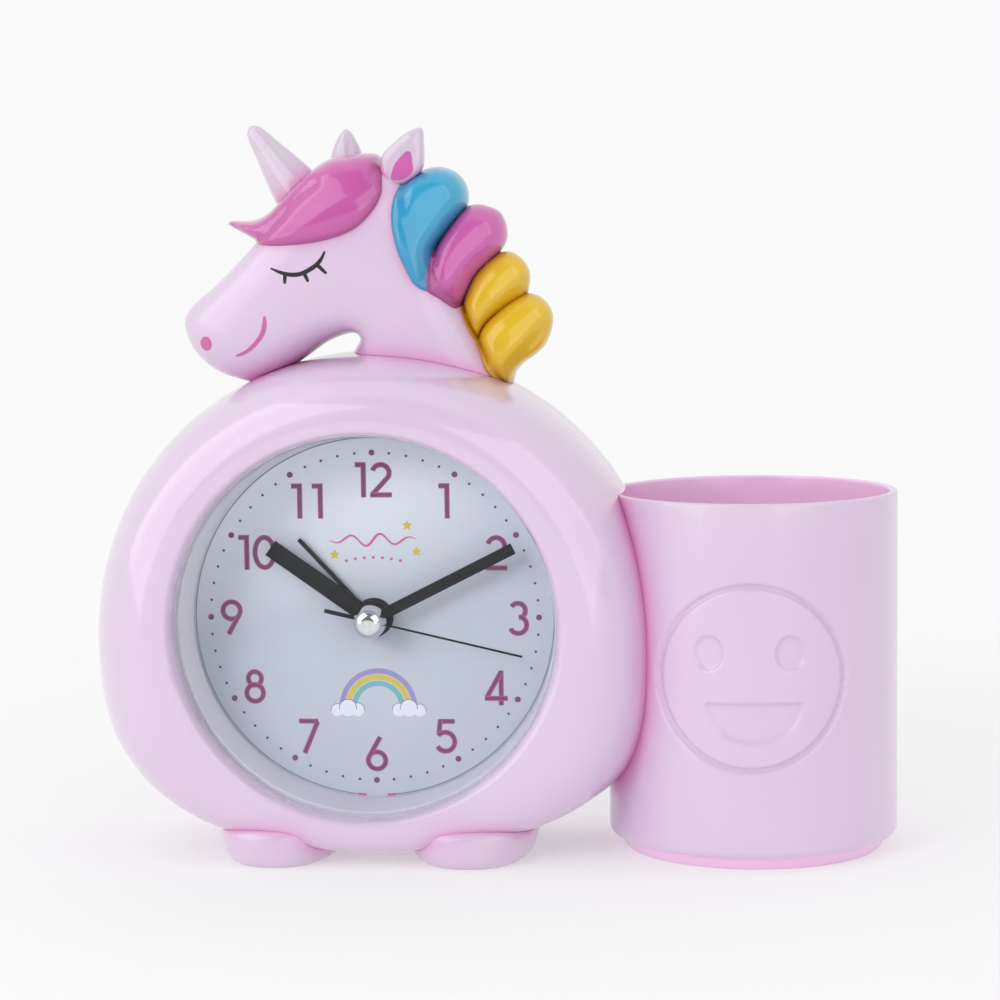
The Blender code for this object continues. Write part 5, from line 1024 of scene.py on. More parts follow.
def screw(finish):
    """A pan-head screw with a cross recess, its head towards +Y."""
    top = SCREW_HEAD_THICK
    profile = [(0, -SCREW_REACH), (SCREW_SHANK_RADIUS / 2, -SCREW_REACH),
               (SCREW_SHANK_RADIUS, SCREW_SHANK_RADIUS - SCREW_REACH), (SCREW_SHANK_RADIUS, 0),
               (SCREW_HEAD_RADIUS - 0.0001, 0), (SCREW_HEAD_RADIUS, 0.0001),
               *oval((SCREW_HEAD_RADIUS * 0.62, top / 2), SCREW_HEAD_RADIUS * 0.38, top / 2, 7, 0, 90), (0, top)]
    blank = turned_along_y(profile, finish, 40)
    arm, slot = SCREW_HEAD_RADIUS * 0.62, 0.0003
    return cut(blank, block((-arm, top / 3, -slot), (arm, top + BEYOND, slot)),
               block((-slot, top / 3, -arm), (slot, top + BEYOND, arm)))


def make_screws():
    finish = steel()
    rows = []
    for x, z in SCREW_ROWS:
        rows.append(run_tree("Row of copies", screw(finish), finish, count=2,
                             start=(-x, SCREW_SEAT + SEAT_GAP, DIAL_Z + z), step=(2 * x, 0, 0)))
    nodes = [f"shell_screw_{number}" for number in range(1, 5)]
    piece("shell_screws", together(*rows), "clock", "steel", finish, nodes)


# Pen cup

def soft_step(distance, width):
    """0 outside a shape and 1 inside it, softly over a width."""
    t = np.clip(0.5 - distance / width, 0, 1)
    return t * t * (3 - 2 * t)


def oval_distance(x, z, half_width, half_height):
    """About how far a point lies outside an oval."""
    return (np.hypot(x / half_width, z / half_height) - 1) * min(half_width, half_height)


def face_depth(x, z):
    """How deep the smiling face lies at points of the cup's front, seen straight on."""
    groove = np.abs(np.hypot(x, z) - FACE_RING_RADIUS) - sizes().groove_width / 2
    depth = soft_step(groove, FACE_GROOVE_EDGE)
    for across, up in FACE_EYES:
        depth = np.maximum(depth, soft_step(oval_distance(x - across, z - up, *FACE_EYE_SIZE), FACE_EDGE))
    across, half_width, top, drop = FACE_MOUTH
    moon = np.maximum(oval_distance(x - across, z + top, half_width, drop), z + top)
    depth = np.maximum(depth, soft_step(moon, FACE_EDGE))
    return depth * sizes().engraving_depth


def make_cup():
    ring_inner = CUP_RING_RADIUS - CUP_RING_WALL
    floor = CUP_STEP_HEIGHT + CUP_FLOOR
    inner = CUP_RADIUS - CUP_WALL
    edge, rim = CUP_EDGE, CUP_RIM
    profile = [(0, CUP_STEP_HEIGHT), (ring_inner, CUP_STEP_HEIGHT), (ring_inner, 0.0002), (ring_inner + 0.0003, 0),
               (CUP_RING_RADIUS - 0.0018, 0), (CUP_RING_RADIUS - 0.0012, 0.0004),
               (CUP_RING_RADIUS - 0.0003, CUP_STEP_HEIGHT - 0.0002), (CUP_RING_RADIUS + 0.0002, CUP_STEP_HEIGHT)]
    profile += [*arc(CUP_RADIUS - edge, CUP_STEP_HEIGHT + edge, edge, 9, -90, 0)]
    reach = FACE_RING_RADIUS + FACE_MARGIN
    low, high, top = FACE_HEIGHT - reach, FACE_HEIGHT + reach, CUP_HEIGHT - rim
    heights = [*np.linspace(0.006, low, 8), *np.linspace(low, high, 136)[1:], *np.linspace(high, top, 8)[1:]]
    profile += [(CUP_RADIUS, height) for height in heights]
    profile += [*arc(CUP_RADIUS - rim, top, rim, 7, 0, 90)[1:], *arc(inner + rim, top, rim, 5, 90, 180)]
    profile += [(inner, height) for height in np.linspace(top, floor + edge, 24)[1:]]
    profile += [*arc(inner - edge, floor + edge, edge, 5, 0, -90)[1:], (0, floor)]
    finish = cup_finish()
    cup = turned(profile, finish, CUP_STEPS, CUP_GATHER)
    verts = [vert for vert in cup.verts if vert.co.y < 0 and low < vert.co.z < high
             and vert.co.xy.length > CUP_RADIUS - MERGE]
    x = np.array([vert.co.x for vert in verts])
    z = np.array([vert.co.z - FACE_HEIGHT for vert in verts])
    for vert, depth in zip(verts, face_depth(x, z)):
        vert.co.xy *= (CUP_RADIUS - depth) / CUP_RADIUS
    piece("cup", moved(cup, CUP_OFFSET), "clock", "pink_plastic", finish, ["pen_cup"], 45)


def cup_finish():
    """The cup's pink, with painted shade near the body, and painted light inside the cup and faintly on its foot
    ring, where they lie in shade.
    """
    values = {"Colour": tuple(colours().body), "Painted Shading Colour": tuple(colours().painted_joint_shade), "Painted Shading Share": "near",
              "Roughness": 0.3, "Grain Size": 0.0009}
    material = surface_from("Cup plastic", "Moulded plastic", values, {"Coat Weight": 0.6, "Coat Roughness": 0.05},
                            0.04)
    tree = material.node_tree
    x, y, z = split(tree, object_place(tree))
    x = reckon(tree, 'SUBTRACT', x, CUP_OFFSET + SHIFT.x)
    radius = axis_distance(tree, x, reckon(tree, 'SUBTRACT', y, SHIFT.y))
    # painted light: the inner wall fully, and the foot ring at a share of 0.15, take the lighter, pinker inside pink
    inside = reckon(tree, 'LESS_THAN', radius, CUP_RADIUS - CUP_WALL * 0.6)
    low = reckon(tree, 'LESS_THAN', z, CUP_STEP_HEIGHT + 0.0001)
    inside = reckon(tree, 'MAXIMUM', inside, reckon(tree, 'MULTIPLY', low, 0.15))
    return drive(material, "Colour", blended(tree, inside, (*colours().body, 1), (*colours().painted_light_in_cup, 1)))


# Feet

def make_feet():
    finish = pink()
    body = body_blob(FINE_GAP)
    levels = curve_through(FOOT_LEVELS, 0.045)
    turns = np.arange(FOOT_STEPS) * math.tau / FOOT_STEPS
    across, along = np.cos(turns), np.sin(turns)
    reach = (np.abs(across) ** FOOT_POWER + np.abs(along) ** FOOT_POWER) ** (-1 / FOOT_POWER)
    for name, side in (("foot_left", -1), ("foot_right", 1)):
        rings = []
        for up_share, inset_share in levels:
            inset = FOOT_HALF_WIDTH * max(0.0, inset_share)
            x = side * (FOOT_OFFSET - FOOT_INWARD) + (FOOT_HALF_WIDTH + FOOT_INWARD - inset) * reach * across
            x = np.where(x < 0, x * (1 - LEFT_SHARE), x)
            y = FOOT_LENGTH / 2 - FOOT_FRONT + (FOOT_LENGTH / 2 - inset) * reach * along
            rings.append(np.stack((x, y, np.full(FOOT_STEPS, FOOT_HEIGHT * up_share)), 1))
        foot = largest_piece(cut(from_rings(rings), body.copy()))
        piece(name.replace("foot", "paw"), foot, "clock", "pink_plastic", finish, [name], 40)
    body.free()


# Horse's head: puffed outlines

def head_curve(shares, spacing, closed=True):
    """A smooth line through points given as shares of the head."""
    return curve_through([(HEAD_SPAN * x, BODY_TOP_Z + HEAD_SPAN * z) for x, z in shares], spacing, closed)


def line_distances(points, line, closed=False):
    """How far flat points lie from a line."""
    best = np.full(len(points), np.inf)
    starts = np.roll(line, 1, 0) if closed else line[:-1]
    ends = line if closed else line[1:]
    for start, end in zip(starts, ends):
        along = end - start
        t = np.clip((points - start) @ along / (along @ along), 0, 1)
        best = np.minimum(best, np.hypot(*(points - start - t[:, None] * along).T))
    return best


def edge_distances(points, outline):
    """How far flat points lie inside an outline, less than zero outside it."""
    inside = np.zeros(len(points), bool)
    for start, end in zip(np.roll(outline, 1, 0), outline):
        if start[1] == end[1]:
            continue
        crosses = (start[1] > points[:, 1]) != (end[1] > points[:, 1])
        x = start[0] + (end[0] - start[0]) * (points[:, 1] - start[1]) / (end[1] - start[1])
        inside ^= crosses & (points[:, 0] < x)
    return line_distances(points, outline, True) * np.where(inside, 1, -1)


def filled(outline, spacing, rings=RIM_RINGS):
    """Points and triangles inside an outline, finest at its rim; the rim's points come first."""
    ahead, behind = np.roll(outline, -1, 0), np.roll(outline, 1, 0)
    along = ahead - behind
    inward = np.stack((-along[:, 1], along[:, 0]), 1) / np.hypot(*along.T)[:, None]
    turning = np.sum(outline[:, 0] * ahead[:, 1] - ahead[:, 0] * outline[:, 1])
    if turning < 0:
        inward = -inward
    every, offset = [outline], 0.0
    for step in range(1, rings + 1):
        offset = RIM_STEP * step ** 2
        ring = outline + inward * offset
        every.append(ring[edge_distances(ring, outline) > RIM_KEEP * offset])
    low, high = outline.min(0), outline.max(0)
    rise = spacing * math.sqrt(3) / 2
    x, z = np.meshgrid(np.arange(low[0], high[0], spacing), np.arange(low[1], high[1], rise))
    x[1::2] -= spacing / 2
    face = np.stack((x.ravel(), z.ravel()), 1)
    every.append(face[edge_distances(face, outline) > offset + FACE_KEEP * spacing])
    every = np.concatenate(every)
    rim = [(i, (i + 1) % len(outline)) for i in range(len(outline))]
    points, _, triangles = delaunay_2d_cdt([Vector(point) for point in every], rim, [], 1, MERGE / 10)[:3]
    return np.array([tuple(point) for point in points]), np.array(triangles)


def slab(points, triangles, rim, fronts, rears):
    """A solid between two depths over flat triangles whose rim points come first."""
    bm = bmesh.new()
    front, rear = [[bm.verts.new((x, y, z)) for (x, z), y in zip(points, depths)] for depths in (fronts, rears)]
    for a, b, c in triangles:
        bm.faces.new((front[a], front[b], front[c]))
        bm.faces.new((rear[c], rear[b], rear[a]))
    for i in range(rim):
        j = (i + 1) % rim
        bm.faces.new((front[i], front[j], rear[j], rear[i]))
    bmesh.ops.recalc_face_normals(bm, faces=bm.faces)
    return bm


def skin_heights(points, triangles, rim_count, half_depth):
    """Heights of a skin blown up over a flat outline that is held at its rim."""
    count = len(points)
    corner = points[triangles]
    one, two = corner[:, 1] - corner[:, 0], corner[:, 2] - corner[:, 0]
    area = np.maximum(np.abs(one[:, 0] * two[:, 1] - one[:, 1] * two[:, 0]) / 2, 1e-14)
    load = np.bincount(triangles.ravel(), np.repeat(4 * area / 3, 3), count)
    starts, ends, weights = [], [], []
    for k in range(3):
        i, j, other = triangles[:, k], triangles[:, (k + 1) % 3], points[triangles[:, (k + 2) % 3]]
        starts.append(i)
        ends.append(j)
        weights.append(((points[i] - other) * (points[j] - other)).sum(1) / (4 * area))
    starts, ends, weights = np.concatenate(starts), np.concatenate(ends), np.concatenate(weights)

    def pull(heights):
        flow = weights * (heights[starts] - heights[ends])
        result = np.bincount(starts, flow, count) - np.bincount(ends, flow, count)
        result[:rim_count] = 0
        return result

    diagonal = np.bincount(starts, weights, count) + np.bincount(ends, weights, count)
    diagonal = np.where(diagonal > 0, diagonal, 1)
    load[:rim_count] = 0
    heights = np.zeros(count)
    rest = load.copy()
    scaled = rest / diagonal
    way = scaled.copy()
    work = rest @ scaled
    for _ in range(SKIN_ROUNDS):
        pulled = pull(way)
        step = work / (way @ pulled)
        heights += step * way
        rest -= step * pulled
        if np.abs(rest).max() < SKIN_REST * np.abs(load).max():
            break
        scaled = rest / diagonal
        fresh = rest @ scaled
        way = scaled + fresh / work * way
        work = fresh
    ball = np.sqrt(np.maximum(heights, 0))
    return ball * half_depth / (ball ** 3 + half_depth ** 3) ** (1 / 3)


def draped(base, points):
    """Carry a base's heights past its edge, falling at an even slope."""
    gaps = np.hypot(points[:, :1] - points[:, 0], points[:, 1:] - points[:, 1])
    return (base - DRAPE_SLOPE * gaps).max(1)


def round_share(distances, reach):
    """A quarter circle's rise from 0 at an edge to 1 at a reach from it."""
    share = np.clip(distances / reach, 0, 1)
    return np.sqrt(share * (2 - share))


def puffed(outline, spacing, half_depth, under=None, valley=None, centre_y=0.0):
    """A cushion-like solid over an outline, swollen over a base and parted by a valley where they are given."""
    points, triangles = filled(outline, spacing)
    rim = len(outline)
    heights = skin_heights(points, triangles, rim, half_depth)
    if under is not None:
        depth_at = surface_depth(under)
        base = np.array([max(0.0, -depth_at(x, z)) for x, z in points])
        inward = line_distances(points, outline, True)
        base = np.maximum(base, draped(base, points) * round_share(inward, DRAPE_ROUND))
        raised = base + LOBE_RISE * round_share(inward, LOBE_ROUND) * np.clip(base / 0.003, 0, 1)
        heights = (heights ** LOBE_BLEND_POWER + raised ** LOBE_BLEND_POWER) ** (1 / LOBE_BLEND_POWER)
        line = curve_through([(x / 1000, z / 1000) for x, z in valley], 0.0006)
        near = np.exp(-(line_distances(points, line) / VALLEY_WIDTH) ** 2)
        near *= np.clip(inward / 0.002, 0, 1) * np.clip((heights - base) / 0.0018, 0, 1)
        heights -= np.minimum(sizes().hair_valley, VALLEY_SHARE * heights) * near
    heights = np.maximum(heights, PUFF_EDGE)
    return slab(points, triangles, rim, centre_y - heights, centre_y + heights)


def make_head():
    finish = head_plastic()
    head = puffed(head_curve(HEAD_OUTLINE, 0.0009), 0.0013, HEAD_HALF_DEPTH)
    body = body_blob(FINE_GAP)
    SOLIDS["body"] = body
    SOLIDS["head"] = head
    SOLIDS["head_tree"] = BVHTree.FromBMesh(head)
    reach = 2 * HEAD_SPAN
    for name, side in (("head_front", 1), ("head_rear", -1)):
        near, far = sorted((-side * FINE_GAP, side * reach))
        other = block((-reach, near, 0), (reach, far, BODY_TOP_Z + reach))
        half = largest_piece(cut(head.copy(), other, body.copy()))
        piece(name.replace("head", "horse_head"), half, "clock", "pink_plastic", finish, [name], 50)


def make_mane():
    tree = SOLIDS["head_tree"]
    # the darker second colours of the hair are painted shade where the lobes meet their neighbours
    shades = {
        "magenta": plastic("Magenta plastic", colours().magenta, ink(150, 52, 118), 0.2, 0.8),
        "blue": plastic("Blue plastic", colours().blue, ink(40, 128, 176), 0.2, 0.8),
        "yellow": plastic("Yellow plastic", colours().yellow, ink(196, 140, 20), 0.2, 0.7),
    }
    taken = [grown(SOLIDS["head"], FINE_GAP), SOLIDS["body"]]
    rows = (("mane_blue", MANE_BLUE, LOBE_HALF_DEPTH, "blue", BLUE_VALLEY),
            ("mane_magenta", MANE_MAGENTA, LOBE_HALF_DEPTH, "magenta", MAGENTA_VALLEY),
            ("mane_yellow_upper", MANE_YELLOW_UPPER, LOBE_HALF_DEPTH, "yellow", YELLOW_UPPER_VALLEY),
            ("mane_yellow_lower", MANE_YELLOW_LOWER, LOBE_HALF_DEPTH, "yellow", YELLOW_LOWER_VALLEY),
            ("forelock", FORELOCK, FORELOCK_HALF_DEPTH, "magenta", FORELOCK_VALLEY))
    for name, shares, half_depth, shade, valley in rows:
        lobe = puffed(head_curve(shares, 0.0008), 0.001, half_depth, tree, valley)
        seated = largest_piece(cut(lobe.copy(), *[solid.copy() for solid in taken]))
        taken.append(grown(lobe, FINE_GAP))
        lobe.free()
        piece("hair_" + name, seated, "clock", shade + "_plastic", shades[shade], [name], 50)
    SOLIDS["taken"] = taken


def cone(ends, radius, profile, y, finish, ridges=0):
    """A round-tipped cone that stands from one point of the head to another."""
    base, tip = [Vector((HEAD_SPAN * x, BODY_TOP_Z + HEAD_SPAN * z)) for x, z in ends]
    length = (tip - base).length
    line = curve_through([(along * length, radius * out) for along, out in profile], 0.0006)
    bm = turned([(0, 0)] + [(max(0.0, out) if i < len(line) - 1 else 0.0, along)
                            for i, (along, out) in enumerate(line)], finish, 96)
    for vert in bm.verts if ridges else ():
        turn = math.atan2(vert.co.y, vert.co.x)
        vert.co.xy *= 1 - HORN_RIDGE_SHARE * (0.5 + 0.5 * math.cos(ridges * turn))
    spun(bm, math.atan2(tip.x - base.x, tip.y - base.y))
    return moved(bm, base.x, y, base.y)


def make_ears_and_horn():
    # painted shade: the deeper joint pink where the horn and ears meet the hair
    finish = plastic("Pale pink plastic", colours().horn, colours().painted_joint_shade, 0.24)
    taken = SOLIDS["taken"]
    rows = (("ear_near", puffed(head_curve(EAR_NEAR, 0.0005), 0.0008, EAR_NEAR_HALF_DEPTH, centre_y=EAR_NEAR_Y)),
            ("ear_far", cone(EAR_FAR, EAR_FAR_RADIUS, EAR_PROFILE, EAR_FAR_Y, finish)),
            ("horn", cone(HORN, HORN_RADIUS, HORN_PROFILE, 0, finish, HORN_RIDGES)))
    for name, bm in rows:
        if name == "ear_near":
            SOLIDS["ear_tree"] = BVHTree.FromBMesh(bm)
        seated = largest_piece(cut(bm, *[solid.copy() for solid in taken]))
        piece("pale_" + name, seated, "clock", "pale_pink_plastic", finish, [name], 50)


# Painted and printed marks

def ribbon(line, width, depth_at, lift=PRINT_RISE, sink=PAINT_SINK, closed=False, taper=None):
    """A thin raised band along a flat line, laid on a surface; its core attribute is 1 along the middle."""
    line = np.array(line, float)
    ahead = np.roll(line, -1, 0) - line
    behind = line - np.roll(line, 1, 0)
    if not closed:
        ahead[-1], behind[0] = behind[-1], ahead[0]
    ahead /= np.hypot(*ahead.T)[:, None]
    behind /= np.hypot(*behind.T)[:, None]
    along = ahead + behind
    along /= np.hypot(*along.T)[:, None]
    stretch = 1 / np.maximum(SHARPEST_BEND, (along * ahead).sum(1))
    side = np.stack((-along[:, 1], along[:, 0]), 1) * (stretch * width / 2)[:, None]
    if taper is not None:
        side *= np.interp(np.linspace(0, 1, len(line)), np.linspace(0, 1, len(taper)), taper)[:, None]
    bm = bmesh.new()
    core = bm.verts.layers.float.new("core")
    rows = []
    for middle, out in zip(line, side):
        row = []
        for share in (-1, 0, 1):
            x, z = middle + out * share
            vert = bm.verts.new((x, depth_at(x, z) - lift, z))
            vert[core] = 1.0 - abs(share)
            row.append(vert)
        for share in (1, -1):
            x, z = middle + out * share
            row.append(bm.verts.new((x, depth_at(x, z) + sink, z)))
        rows.append(row)
    return skinned(bm, rows, closed)


def patch(outline, spacing, depth_at, lift=PRINT_RISE, sink=PAINT_SINK):
    """A thin raised patch inside an outline, laid on a surface."""
    points, triangles = filled(np.array(outline, float), spacing, 0)
    depths = np.array([depth_at(x, z) for x, z in points])
    return slab(points, triangles, len(outline), depths - lift, depths + sink)


def surface_depth(tree):
    """A function that gives the surface's y under a point, seen from the front."""
    def depth_at(x, z):
        hit = tree.ray_cast(Vector((x, -BODY_HALF_WIDTH, z)), Vector((0, 1, 0)))[0]
        return hit.y if hit is not None else 0.0
    return depth_at


def paint(name, colour, roughness=0.35):
    """Brushed or printed paint, slightly uneven."""
    return plastic(name, colour, None, roughness, 0.15, 0.0003, 0.12)


def brushed(points, spacing, width, depth_at, taper):
    """A painted stroke through points in millimetres."""
    return ribbon(curve_through(np.array(points) / 1000, spacing), width, depth_at, taper=taper)


def make_head_paint():
    depth_at = surface_depth(SOLIDS["head_tree"])
    black = paint("Lash paint", colours().lashes)
    marks = [brushed(EYE_ARC, 0.0004, 0.00095, depth_at, (0.35, 0.8, 1, 1, 1.05, 0.9, 0.4))]
    marks += [brushed(lash, 0.0003, 0.00085, depth_at, (1, 0.95, 0.6)) for lash in LASHES]
    piece("closed_eye", together(*marks), "clock", "hand_paint", black)
    rose = paint("Mouth paint", colours().mouth)
    smile = brushed(SMILE, 0.0004, 0.00096, depth_at, (0.5, 1.1, 1.1, 1, 0.9, 0.8, 0.4))
    nostril = patch(oval(NOSTRIL, *NOSTRIL_SIZE) / 1000, 0.0004, depth_at)
    ear = patch(curve_through(np.array(EAR_INSIDE) / 1000, 0.0004, True), 0.0005, surface_depth(SOLIDS["ear_tree"]))
    piece("mouth_and_nostril", together(smile, nostril), "clock", "magenta_plastic", rose)
    piece("ear_inside", ear, "clock", "magenta_plastic", paint("Ear paint", colours().magenta))


# Lens, recess and dial

def lens_finish():
    """Clear plastic that lets the lamps through to the dial, with faint smudges."""
    material, tree, shader = new_finish("Clear plastic")
    smudge = noise(tree, object_place(tree), 90.0, 3.0)
    fill(tree, shader, {"Roughness": between(tree, smudge, 0.0, 0.035), "Base Color": (0.98, 0.99, 1, 1),
                        "Transmission Weight": 1.0, "IOR": 1.25})
    return let_through(material, shader, tree.nodes.new("ShaderNodeLightPath").outputs["Is Shadow Ray"])


def make_lens_and_recess():
    front = -REBATE_DEPTH + SEAT_GAP
    rear = front + LENS_THICK
    radius = REBATE_RADIUS - SEAT_GAP
    glass = lens_finish()
    lens = at_dial(disc(radius, front, rear, glass, ROUND_STEPS, edge=0.0003))
    piece("lens_disc", lens, "clock", "clear_plastic", glass, ["lens"], 8)
    # painted light: the recess wall pales towards the left, where it lies in shade
    finish = painted_light_slant(plastic("Recess plastic", colours().recess, ink(250, 247, 253), 0.5, 0.0), 0.0, 20.0, -0.1)
    ring_front, ring_rear = rear + SEAT_GAP, DIAL_FACE - SEAT_GAP
    profile = [(RING_FRONT_RADIUS + 0.0002, ring_front), (radius, ring_front), (radius, ring_front + RING_FLANGE),
               (RING_FRONT_RADIUS + RING_WALL, ring_front + RING_FLANGE),
               (RING_DIAL_RADIUS + RING_WALL, ring_rear), (RING_DIAL_RADIUS, ring_rear)]
    profile += [(RING_DIAL_RADIUS + (RING_FRONT_RADIUS - RING_DIAL_RADIUS) * share,
                 ring_rear + (ring_front - ring_rear) * share) for share in (0.25, 0.5, 0.75)]
    profile.append((RING_FRONT_RADIUS, ring_front + 0.0002))
    lay_on_dial("recess_wall", [turned_along_y(profile, finish)], finish, ["dial_ring"])


def painted_light_slant(material, up, left, start):
    """Painted light: let a plastic's lighter second colour come in evenly across the dial, upwards and to the left,
    to lift the shade that the recess throws there.
    """
    tree = material.node_tree
    x, _, z = split(tree, object_place(tree))
    rise = reckon(tree, 'MULTIPLY', reckon(tree, 'SUBTRACT', z, DIAL_Z), up)
    lean = reckon(tree, 'MULTIPLY', reckon(tree, 'SUBTRACT', x, SHIFT.x), left)
    near = reckon(tree, 'ADD', reckon(tree, 'SUBTRACT', rise, lean), start)
    return drive(material, "Painted Shading Share", output(tree, "ShaderNodeClamp", {0: near}))


def make_dial():
    # painted light: the dial pales upwards and to the left, where the recess throws shade
    finish = painted_light_slant(plastic("Dial card", colours().dial, ink(236, 239, 248), 0.5, 0.0, 0.0005, 0.1, 0.3),
                     30.0, 8.0, -0.15)
    profile = ((DIAL_BORE, DIAL_FACE), (REBATE_RADIUS - SEAT_GAP, DIAL_FACE),
               (REBATE_RADIUS - SEAT_GAP, DIAL_FACE + DIAL_THICK), (DIAL_BORE, DIAL_FACE + DIAL_THICK))
    lay_on_dial("dial_card", [turned_along_y(profile, finish)], finish, ["dial"])


def figure_strokes():
    """Centre lines of the ten figures, in millimetres about their middles; a long array is a closed loop."""
    top, bottom = 3.275, -3.275
    return {
        "0": [oval((0, 0), 2.08, 3.275, 56)],
        "1": [((-1.2, top), (0.62, top), (0.62, -3.8))],
        "2": [[*oval((0, 1.5), 1.82, 1.78, 26, -35, 165)[::-1], (-1.75, bottom + 0.25)],
              ((-2.35, bottom), (2.35, bottom))],
        "3": [oval((-0.1, 1.68), 1.6, 1.6, 24, -85, 150)[::-1], oval((-0.1, -1.45), 1.85, 1.83, 28, -155, 82)[::-1]],
        "4": [((1.05, 3.8), (1.05, -3.8)), ((1.0, 3.4), (-2.1, -2.15)), ((-2.5, -2.3), (2.45, -2.3))],
        "5": [((-1.35, top), (1.95, top)), ((-1.2, 3.7), (-1.6, 0.2)),
              oval((-0.15, -1.2), 2.02, 2.08, 28, -150, 140)[::-1]],
        "6": [oval((0, -1.4), 1.9, 1.88, 40), ((-1.7, -0.55), (0.75, 3.8))],
        "7": [((-2.15, top), (2.05, top)), ((1.95, 3.2), (-1.0, -3.8))],
        "8": [oval((0, 1.75), 1.45, 1.5, 36), oval((0, -1.45), 1.83, 1.83, 40)],
        "9": [oval((0, 1.4), 1.9, 1.88, 40), ((1.7, 0.55), (-0.75, -3.8))],
    }


# The hours' numbers with their places on the dial, and the places of double figures beside these, in millimetres
FIGURES = (("12", 0, 30.5), ("1", 15.9, 25.8), ("2", 27.25, 14.3), ("3", 32.0, -0.2), ("4", 26.9, -15.7),
           ("5", 15.6, -26.6), ("6", 0.1, -30.7), ("7", -15.05, -26.7), ("8", -27.0, -15.6), ("9", -31.9, 0),
           ("10", -26.0, 14.4), ("11", -14.8, 25.8))
FIGURE_OFFSETS = {"12": (-2.55, 1.95), "10": (-2.85, 1.75), "11": (-2.0, 2.6)}


def numeral_finish():
    """Print with a magenta edge and a darker core."""
    material = paint("Numeral print", colours().numeral_edge)
    tree = material.node_tree
    core = add_node(tree, "ShaderNodeAttribute", attribute_name="core").outputs["Fac"]
    share = reaching(tree, core, 0.15, 0.55)
    return drive(material, "Colour", blended(tree, share, (*colours().numeral_edge, 1), (*colours().numeral_core, 1)))


def flat_dial(x, z):
    """The dial's face, at any point of it."""
    return DIAL_FACE


# How most of the print lies: on which surface, how far it stands over it and how far it reaches under it
PRINT = (flat_dial, PRINT_SINK, PRINT_SINK)


def lay_on_dial(name, marks, finish, nodes=()):
    """Keep solids made about the origin as one piece at the dial."""
    piece(name, at_dial(together(*marks)), "clock", "dial_plastic", finish, nodes)


def dial_ink(name, *colour):
    """Flat print."""
    return plastic(name + " print", ink(*colour), None, 0.4, 0.0)


def make_print():
    strokes = figure_strokes()
    scale = sizes().numeral_height / FIGURE_HEIGHT
    marks = []
    for text, x, z in FIGURES:
        offsets = FIGURE_OFFSETS.get(text, (0,))
        for figure, offset in zip(text, offsets):
            for line, lift in zip(strokes[figure], STROKE_LIFTS):
                closed = isinstance(line, np.ndarray) and len(line) >= CLOSED_STEPS
                points = np.array([tuple(point) for point in line], float) * scale
                points += np.array((x + offset, z)) / 1000
                marks.append(ribbon(points, sizes().numeral_stroke, flat_dial, lift, PRINT_SINK, closed))
    lay_on_dial("numerals", marks, numeral_finish())
    for name, finish, radius, sides, count, skip in (
            ("hour_dots", dial_ink("Hour dot", 122, 66, 106), sizes().hour_dot, 24, 12, 1),
            ("minute_dots", dial_ink("Minute dot", 62, 66, 84), sizes().minute_dot, 12, 60, 5)):
        dot = disc(radius, DIAL_FACE - PRINT_RISE, DIAL_FACE + PRINT_RISE, finish, sides)
        dots = run_tree("Ring of copies", dot, finish, count=count, radius=DOT_RING_RADIUS, skip_every=skip)
        lay_on_dial(name, [dots], finish)
    circle = arc(0, 0, EDGE_LINE_RADIUS, 240, -86.5, 266.5)
    lay_on_dial("edge_line", [ribbon(circle, 0.00028, *PRINT)], dial_ink("Edge line", 138, 141, 158))
    ticks = [ribbon(arc(0, 0, EDGE_LINE_RADIUS, 12, start, start + 2.6), 0.0005, flat_dial, PRINT_RISE, PRINT_SINK)
             for start in (-86.6, -96.0)]
    lay_on_dial("edge_ticks", ticks, dial_ink("Tick", 196, 92, 140))


def star(x, z, radius, points=5):
    """The outline of a small star."""
    outline = []
    for step in range(2 * points):
        reach = radius if step % 2 == 0 else radius * 0.5
        turn = math.pi / 2 + math.pi * step / points
        outline.append((x + reach * math.cos(turn), z + reach * math.sin(turn)))
    return outline


def make_motifs():
    """A plain flourish over the hub and a small rainbow between two clouds under it."""
    gold = dial_ink("Gold", 206, 186, 70)
    wave = [(x, 17.2 + 1.5 * math.sin(x * 0.95) * (1 - abs(x) / 14)) for x in np.linspace(-9.6, 9.6, 90)]
    flourish = [ribbon(np.array(wave) / 1000, 0.0005, *PRINT, taper=(0.3, 1, 0.7, 1.2, 0.7, 1, 0.3))]
    for x in np.linspace(-6, 6, 7):
        flourish.append(patch(arc(x / 1000, (13.3 - 0.02 * x * x) / 1000, 0.00034, 14, 0, 360), 0.0003, *PRINT))
    lay_on_dial("flourish", flourish, dial_ink("Flourish", 196, 92, 148))
    stars = [patch(star(x / 1000, z / 1000, 0.0012), 0.0004, *PRINT)
             for x, z in ((7.6, 20.4), (-8.6, 13.9), (9.6, 14.6))]
    lay_on_dial("stars", stars, gold)
    for name, radius, shade in (("outer", 8.1, dial_ink("Lilac", 150, 140, 190)), ("middle", 6.7, gold),
                                ("inner", 5.3, dial_ink("Teal", 112, 176, 186))):
        band = ribbon(arc(0.0006, -0.0201, radius / 1000, 48, 4, 176), 0.00115, *PRINT)
        lay_on_dial("rainbow_" + name, [band], shade)
    puffs, rims = [], []
    for side in (-1, 1):
        for x, z, radius, lift in ((6.8, -20.3, 1.9, 9), (4.6, -20.7, 1.5, 7), (9.2, -20.8, 1.4, 5)):
            puff = ((0.6 + side * x) / 1000, z / 1000, radius / 1000)
            puffs.append(patch(arc(*puff, 28, 0, 360), 0.0006, flat_dial, lift / 100000, 0.00003))
            rims.append(ribbon(arc(*puff, 36, -10, 190), 0.00016, flat_dial, (lift + 1) / 100000, 0.00003))
    lay_on_dial("clouds", puffs, dial_ink("Cloud", 226, 226, 240))
    lay_on_dial("cloud_lines", rims, dial_ink("Fine line", 120, 118, 150))


# Hands

